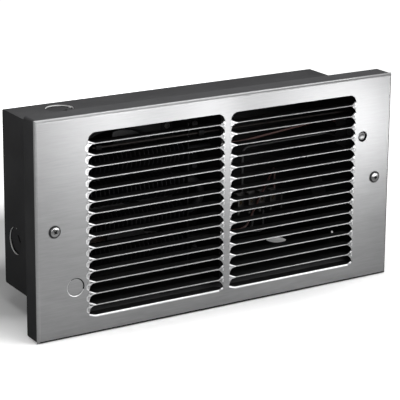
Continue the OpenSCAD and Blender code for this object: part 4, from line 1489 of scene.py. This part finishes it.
@dataclass
class PunchedCan:
    """The can's two sheets, with conduit knockouts pushed in.

    In the bare walls, which the photo shows, the cut edges are bare and each disc has a pry
    slot, tabs at some angles and a tilt. In the others a disc has a hair line round it.
    """

    half_w: float = 187.0
    half_h: float = 92.0
    knockout_r: float = 14.1
    knockout_y: float = 72.0
    end_z: float = -40.0
    wrap_x: float = -136.0
    stud_r: float = 2.75
    stud_y: float = 44.0
    stud_z: float = 85.0
    supply_r: float = 11.1
    supply_x: float = 130.0
    sheet: float = 1.2
    push: float = 1.7
    half_push: float = 0.6
    gap: float = 0.06
    hidden_gap: float = 0.01
    rim_trim: float = 0.15
    edge: float = 0.4
    slot_at: Place = (5.4, 3.4)
    slot_size: Place = (8.4, 2.6)
    tab_w: float = 2.4
    tab_low: float = 0.5
    tab_in: float = 0.8
    tab_out: float = 0.3
    tab_back: float = 0.2
    bare: tuple[Facing, ...] = (Facing.LEFT, Facing.TOP)
    tabs: dict[Facing, tuple[float, ...]] = field(default_factory=lambda: {
        Facing.LEFT: (95.0,), Facing.TOP: (76.0, 256.0)})
    tilt: dict[Facing, float] = field(default_factory=lambda: {
        Facing.LEFT: 0.07, Facing.TOP: 0.0})
    over: float = 1.0
    reach: float = 3.0
    ring: int = 72
    edge_steps: int = 4
    margin: float = 0.5
    slant: float = 0.5

    def knockouts(self) -> dict[Facing, list[Point]]:
        """Work out where the knockouts are.

        Returns:
            The middles of the knockouts in each wall.
        """
        return {Facing.LEFT: [(-self.half_w, self.knockout_y, self.end_z)],
                Facing.RIGHT: [(self.half_w, self.knockout_y, self.end_z)],
                Facing.TOP: [(self.wrap_x, self.knockout_y, self.half_h)],
                Facing.BOTTOM: [(self.wrap_x, self.knockout_y, -self.half_h)]}

    def sheet_of(self, node: str, name: str, walls: tuple[Facing, ...],
                 rims: list[tuple[Facing, Point, float]]) -> bpy.types.Object:
        """Copy a node's sheet and cut its knockouts free, with bare cut edges.

        Args:
            node: the CAD node.
            name: name of the new piece.
            walls: walls of the sheet that have knockouts.
            rims: wall, middle and radius of each open hole whose edge is bare.

        Returns:
            The sheet.
        """
        piece = bpy.data.objects.new(name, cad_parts[node].data.copy())
        bpy.context.scene.collection.objects.link(piece)
        piece.data.materials.clear()
        piece.data.materials.append(CAN_PAINT.material())
        weld(piece)
        discs = [(wall, centre) for wall in walls for centre in self.knockouts()[wall]]
        holes = [(wall, centre, self.knockout_r
                  + (self.gap if wall in self.bare else self.hidden_gap))
                 for wall, centre in discs]
        holes += [(wall, centre, r + self.rim_trim) for wall, centre, r in rims]
        for wall, centre, r in holes:
            shell = Shell()
            shell.turned(centre, [(TIP, -self.over), (r, -self.over), (r, self.reach),
                                  (TIP, self.reach)], self.ring, wall)
            # In the bare walls the cut edges are bare steel made near white as a painted
            # highlight.
            cutter = shell.build("hole_cutter", CUT_EDGE_HIGHLIGHT if wall in self.bare else CAN_PAINT)
            weld(cutter)
            carved(piece, cutter)
        for wall, centre in discs:
            self.disc(piece, wall, centre)
        return piece

    def disc(self, piece: bpy.types.Object, wall: Facing, centre: Point) -> None:
        """Join a pushed-in knockout disc with its pry slot and tabs to a sheet.

        Args:
            piece: the sheet.
            wall: wall that the knockout is in.
            centre: middle of the knockout.
        """
        bare = wall in self.bare
        r, push = self.knockout_r, self.push if bare else self.half_push
        low = push + self.sheet
        shell = Shell()
        shell.turned(centre, [(TIP, push)] + [(r - self.edge + self.edge * math.sin(a),
                                               push + self.edge * (1 - math.cos(a)))
                                              for a in arc(0, 90, self.edge_steps)]
                     + [(r, low), (TIP, low)], self.ring, wall)
        made = shell.build("disc", CAN_PAINT)
        weld(made)
        if not bare:
            joined(piece, made)
            return
        (a, b), (length, width) = self.slot_at, self.slot_size
        away, turn = math.hypot(a, b), math.degrees(math.atan2(b, -a))
        cutter = Shell()
        cutter.bar(wall, centre, (away - width / 2, push - self.over, -length / 2),
                   (away + width / 2, low + self.over, length / 2), turn)
        # The cutter's black stays on the slot walls as painted shade.
        knife = cutter.build("slot_cutter", PAINTED_SHADE_BLACK)
        weld(knife)
        carved(made, knife)
        tabs = Shell()
        for turn in self.tabs[wall]:
            tabs.bar(wall, centre, (r - self.tab_in, self.tab_low, -self.tab_w / 2),
                     (r + self.gap + self.tab_out, low - self.tab_back, self.tab_w / 2), turn)
        bridge = tabs.build("tabs", CUT_EDGE_HIGHLIGHT)
        weld(bridge)
        inward = Vector(wall.place((0.0, 0.0, 0.0), 0.0, 1.0, 0.0))
        for point in made.data.vertices:
            point.co -= inward * (point.co.z - centre[2] * MM) * self.tilt[wall]
        joined(piece, made, bridge)

    def line(self, piece: bpy.types.Object) -> None:
        """Paint the faces inside the can black, as painted shade.

        Args:
            piece: a sheet of the can.
        """
        number = len(piece.data.materials)
        piece.data.materials.append(PAINTED_SHADE_BLACK.material())
        for face in piece.data.polygons:
            x, _, z = face.center / MM
            outward = (face.normal.x * x > self.slant * abs(x)
                       or face.normal.z * z > self.slant * abs(z))
            inside = abs(x) < self.half_w - self.margin and abs(z) < self.half_h - self.margin
            if face.material_index == 0 and inside and not outward:
                face.material_index = number

    def build(self) -> None:
        """Build both sheets."""
        rims = [(wall, (side.value * self.half_w, self.stud_y, z), self.stud_r)
                for wall, side in ((Facing.LEFT, Side.LEFT), (Facing.RIGHT, Side.RIGHT))
                for z in (-self.stud_z, self.stud_z)]
        ends = self.sheet_of("can_ends", "punched_ends", (Facing.LEFT, Facing.RIGHT), rims)
        rims = [(Facing.BOTTOM, (self.supply_x, self.knockout_y, -self.half_h), self.supply_r)]
        wrap = self.sheet_of("can_wrap", "punched_wrap", (Facing.TOP, Facing.BOTTOM), rims)
        for piece, node in ((ends, "can_ends"), (wrap, "can_wrap")):
            self.line(piece)
            evened(piece)
            settle(piece, Body.HEATER, "dark_paint", node)


# ---------------------------------------------------------------- working parts


@dataclass
class WorkingParts:
    """Finishes of the nodes that keep their solids, by node."""

    # Most of these finishes are darkened as painted shade inside the can.
    finishes: dict[str, Finish] = field(default_factory=lambda: {
        "surround_frame": CAN_PAINT,
        "surround_screws": PLATED, "chassis_pan": PAINTED_SHADE_SHEET, "chassis_screws": PLATED,
        "fan_deck": PAINTED_SHADE_SHEET, "deck_posts": PLATED, "deck_screws": PLATED,
        "air_partition": PAINTED_SHADE_SHEET, "partition_rivets": BARE_STEEL,
        "fan_wheel": FAN_ALUMINIUM, "fan_hub": TURNED_BRASS, "hub_screw": BARE_STEEL,
        "motor_shaft": BARE_STEEL, "motor_rotor": BARE_STEEL, "motor_stator": STAMPED_STACK,
        "motor_coil": COPPER_COIL, "motor_front_bracket": CAST_ZINC,
        "motor_rear_bracket": CAST_ZINC, "motor_bushes": SINTERED_BRONZE,
        "motor_bolts": PLATED, "motor_mount": PAINTED_SHADE_SHEET, "motor_mount_screws": PLATED,
        "heating_element": HOT_STEEL, "element_insulators": WHITE_CERAMIC,
        "element_terminals": BARE_STEEL, "element_hanger_left": PAINTED_SHADE_SHEET,
        "element_hanger_right": PAINTED_SHADE_SHEET, "hanger_screws": PLATED,
        "limit_switch": SWITCH_CASE, "limit_bracket": PAINTED_SHADE_SHEET, "limit_rivets": BARE_STEEL,
        "reset_nut": PLATED, "limit_capillary": COPPER_TUBE, "capillary_clips": PAINTED_SHADE_SHEET,
        "terminal_block": BLOCK_PLASTIC, "terminal_screws": TURNED_BRASS,
        "ground_screw": GREEN_SCREW, "cable_clamp": SHEET_ZINC, "clamp_screws": PLATED,
        "supply_leads": SUPPLY_JACKET, "element_leads": ELEMENT_JACKET,
        "motor_leads": BLACK_JACKET,
    })

    def build(self) -> None:
        """Give each node its finish."""
        for node, finish in self.finishes.items():
            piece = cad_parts[node]
            piece.data.materials.clear()
            piece.data.materials.append(finish.material())
            LOG.info("%s: finish %s", node, finish.name)


# ---------------------------------------------------------------- studio


@dataclass(frozen=True)
class PaintedShadow:
    """Painted shadow: a place on the floor whose glow is turned down, near or under the object.
    """

    at: Place
    to: Place
    squeeze: float
    level: float

    def glow(self, recipe: Recipe) -> bpy.types.NodeSocket:
        """How much the floor glows round the place.

        Args:
            recipe: the floor's material.

        Returns:
            The socket with the level: low inside the place, 1 outside it.
        """
        coords = recipe.node("ShaderNodeTexCoord")
        away = recipe.node("ShaderNodeVectorMath", operation="SUBTRACT")
        squeezed = recipe.node("ShaderNodeVectorMath", operation="MULTIPLY")
        length = recipe.node("ShaderNodeVectorMath", operation="LENGTH")
        away.inputs[1].default_value = (*self.at, 0.0)
        squeezed.inputs[1].default_value = (self.squeeze, 1.0, 1.0)
        recipe.link(coords.outputs["Object"], away.inputs[0])
        recipe.link(away.outputs["Vector"], squeezed.inputs[0])
        recipe.link(squeezed.outputs["Vector"], length.inputs[0])
        return recipe.ramp(length.outputs["Value"], self.level, 1.0, *self.to)


@dataclass(frozen=True)
class Lamp:
    """Soft box that the camera doesn't see, in metres and watts."""

    name: str
    at: Point
    aim: Point
    size: Place
    power: float

    def build(self) -> None:
        """Add the lamp to the scene."""
        data = bpy.data.lights.new(self.name, "AREA")
        data.shape = "RECTANGLE"
        data.size, data.size_y = self.size
        data.energy = self.power
        made = bpy.data.objects.new(self.name, data)
        made.location = self.at
        way = Vector(self.aim) - Vector(self.at)
        made.rotation_euler = way.to_track_quat("-Z", "Y").to_euler()
        made.visible_camera = False
        bpy.context.scene.collection.objects.link(made)


STRIP = (0.2, 0.06)
LAMPS = (
    Lamp("key_box", (0.2, -0.6, 0.95), (0.0, 0.0, 0.0), (0.5, 0.5), 3.5),
    Lamp("top_strip", (0.0, 0.002, 0.26), (0.0, 0.002, 0.0), (0.6, 0.04), 1.0),
    Lamp("back_box", (0.1, 1.2, 0.05), (0.0, 0.1, 0.0), (0.8, 0.3), 6.0),
    Lamp("corner_side", (-0.44, -0.165, 0.05), (-0.21, -0.03, 0.1), (0.05, 0.05), 0.15),
    Lamp("corner_front", (-0.26, -0.25, 0.04), (-0.21, -0.03, 0.1), (0.06, 0.05), 0.15),
    Lamp("strip_far_left", (-0.12, -0.2, 0.08), (-0.25, -0.024, 0.08), STRIP, 0.25),
    Lamp("strip_left", (0.0, -0.2, 0.06), (-0.15, -0.024, 0.08), STRIP, 0.51),
    Lamp("strip_middle", (0.2, -0.2, 0.06), (0.05, -0.024, 0.08), STRIP, 0.22),
    Lamp("strip_low", (0.2, -0.2, 0.02), (0.05, -0.024, 0.04), STRIP, 0.27),
    Lamp("strip_right", (0.3, -0.2, 0.02), (0.15, -0.024, 0.05), STRIP, 0.37),
)


@dataclass
class Studio:
    """Pale floor, soft lamps, world and camera.

    The floor's colour is floor_seen to the camera and in reflections, and floor_lit to
    diffuse light.
    """

    floor_z: float = -115.6
    floor_half: float = 12.0
    floor_lit: float = 0.36
    floor_seen: float = 0.84
    camera_at: Point = (-901.13, -1462.32, 521.44)
    yaw: float = 31.5242
    pitch: float = 14.4572
    roll: float = 0.5086
    focal_px: float = 1747.36
    photo_px: float = 400.0
    sensor: float = 36.0
    shift: Place = (-0.02, -0.2)
    clip: Range = (0.05, 50.0)
    ambient: float = 0.08
    # Painted shadows: places round and under the object where the floor's glow is turned down.
    dims: tuple[PaintedShadow, ...] = (PaintedShadow((-0.04, 0.19), (0.165, 0.27), 0.7, 0.06),
                             PaintedShadow((0.18, 0.13), (0.08, 0.12), 1.0, 0.0),
                             PaintedShadow((0.15, -0.12), (0.15, 0.45), 1.0, 0.45),
                             PaintedShadow((0.0, -0.02), (0.01, 0.1), 0.25, 0.0))

    def camera(self) -> None:
        """Make the camera at the photo's viewing angle."""
        yaw, pitch, roll = (math.radians(a) for a in (self.yaw, self.pitch, self.roll))
        ahead = Vector((math.sin(yaw) * math.cos(pitch), math.cos(yaw) * math.cos(pitch),
                        -math.sin(pitch)))
        right = Vector((math.cos(yaw), -math.sin(yaw), 0.0))
        up = right.cross(ahead)
        right, up = (right * math.cos(roll) + up * math.sin(roll),
                     up * math.cos(roll) - right * math.sin(roll))
        data = bpy.data.cameras.new("camera")
        data.sensor_width = self.sensor
        data.sensor_fit = "HORIZONTAL"
        data.lens = self.focal_px * self.sensor / self.photo_px
        data.shift_x, data.shift_y = self.shift
        data.clip_start, data.clip_end = self.clip
        made = bpy.data.objects.new("camera", data)
        turn = Matrix((right, up, -ahead)).transposed().to_4x4()
        made.matrix_world = Matrix.Translation(Vector(self.camera_at) * MM) @ turn
        bpy.context.scene.collection.objects.link(made)
        bpy.context.scene.camera = made

    def world(self) -> None:
        """Make the world white to the camera, to metal and to glass, and dim as a lamp."""
        world = bpy.data.worlds.new("studio")
        world.use_nodes = True
        tree = world.node_tree
        tree.nodes.clear()
        output = tree.nodes.new("ShaderNodeOutputWorld")
        back = tree.nodes.new("ShaderNodeBackground")
        seen = self.seen(tree)
        level = tree.nodes.new("ShaderNodeMapRange")
        level.inputs["To Min"].default_value = self.ambient
        level.inputs["To Max"].default_value = 1.0
        tree.links.new(seen, level.inputs["Value"])
        tree.links.new(level.outputs["Result"], back.inputs["Strength"])
        tree.links.new(back.outputs["Background"], output.inputs["Surface"])
        bpy.context.scene.world = world

    @staticmethod
    def seen(tree: bpy.types.NodeTree) -> bpy.types.NodeSocket:
        """Value that is 1 for camera, glossy and transmission rays.

        Args:
            tree: the node tree that gets the nodes.

        Returns:
            The socket with the value.
        """
        path = tree.nodes.new("ShaderNodeLightPath")
        first = tree.nodes.new("ShaderNodeMath")
        second = tree.nodes.new("ShaderNodeMath")
        first.operation = second.operation = "MAXIMUM"
        tree.links.new(path.outputs["Is Camera Ray"], first.inputs[0])
        tree.links.new(path.outputs["Is Glossy Ray"], first.inputs[1])
        tree.links.new(first.outputs[0], second.inputs[0])
        tree.links.new(path.outputs["Is Transmission Ray"], second.inputs[1])
        return second.outputs[0]

    def floor(self) -> None:
        """Make a pale floor that keeps the object's shadow, has painted shadows where its glow is
        turned down near the object, and is white farther out.
        """
        recipe = Recipe("pale_floor")
        glow = seen = self.seen(recipe.tree)
        for dim in self.dims:
            product = recipe.node("ShaderNodeMath", operation="MULTIPLY")
            recipe.link(glow, product.inputs[0])
            recipe.link(dim.glow(recipe), product.inputs[1])
            glow = product.outputs[0]
        colour = recipe.blend(seen, (self.floor_lit,) * 3, (self.floor_seen,) * 3)
        recipe.link(colour, recipe.shader.inputs["Base Color"])
        recipe.set(Roughness=0.9, Specular_IOR_Level=0.0, Emission_Color=(1, 1, 1, 1))
        recipe.link(glow, recipe.shader.inputs["Emission Strength"])
        mesh = bpy.data.meshes.new("floor")
        mesh.from_pydata([(a * self.floor_half, b * self.floor_half, 0)
                          for a, b in ((-1, -1), (1, -1), (1, 1), (-1, 1))], [], [(0, 1, 2, 3)])
        mesh.materials.append(recipe.material)
        made = bpy.data.objects.new("floor", mesh)
        made.location = (0.0, 0.0, self.floor_z * MM)
        bpy.context.scene.collection.objects.link(made)

    def build(self) -> None:
        """Make everything that isn't part of the object."""
        self.camera()
        self.world()
        self.floor()
        for lamp in LAMPS:
            lamp.build()
        bpy.context.scene.view_settings.view_transform = "Standard"


def main() -> None:
    """Build the pieces in order and report each."""
    logging.basicConfig(level=logging.INFO, format="%(name)s: %(message)s")
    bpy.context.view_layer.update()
    Studio().build()
    FacePlate().build()
    FaceScrews().build()
    ResetButton().build()
    PunchedCan().build()
    WorkingParts().build()


if __name__ == "__main__":
    main()
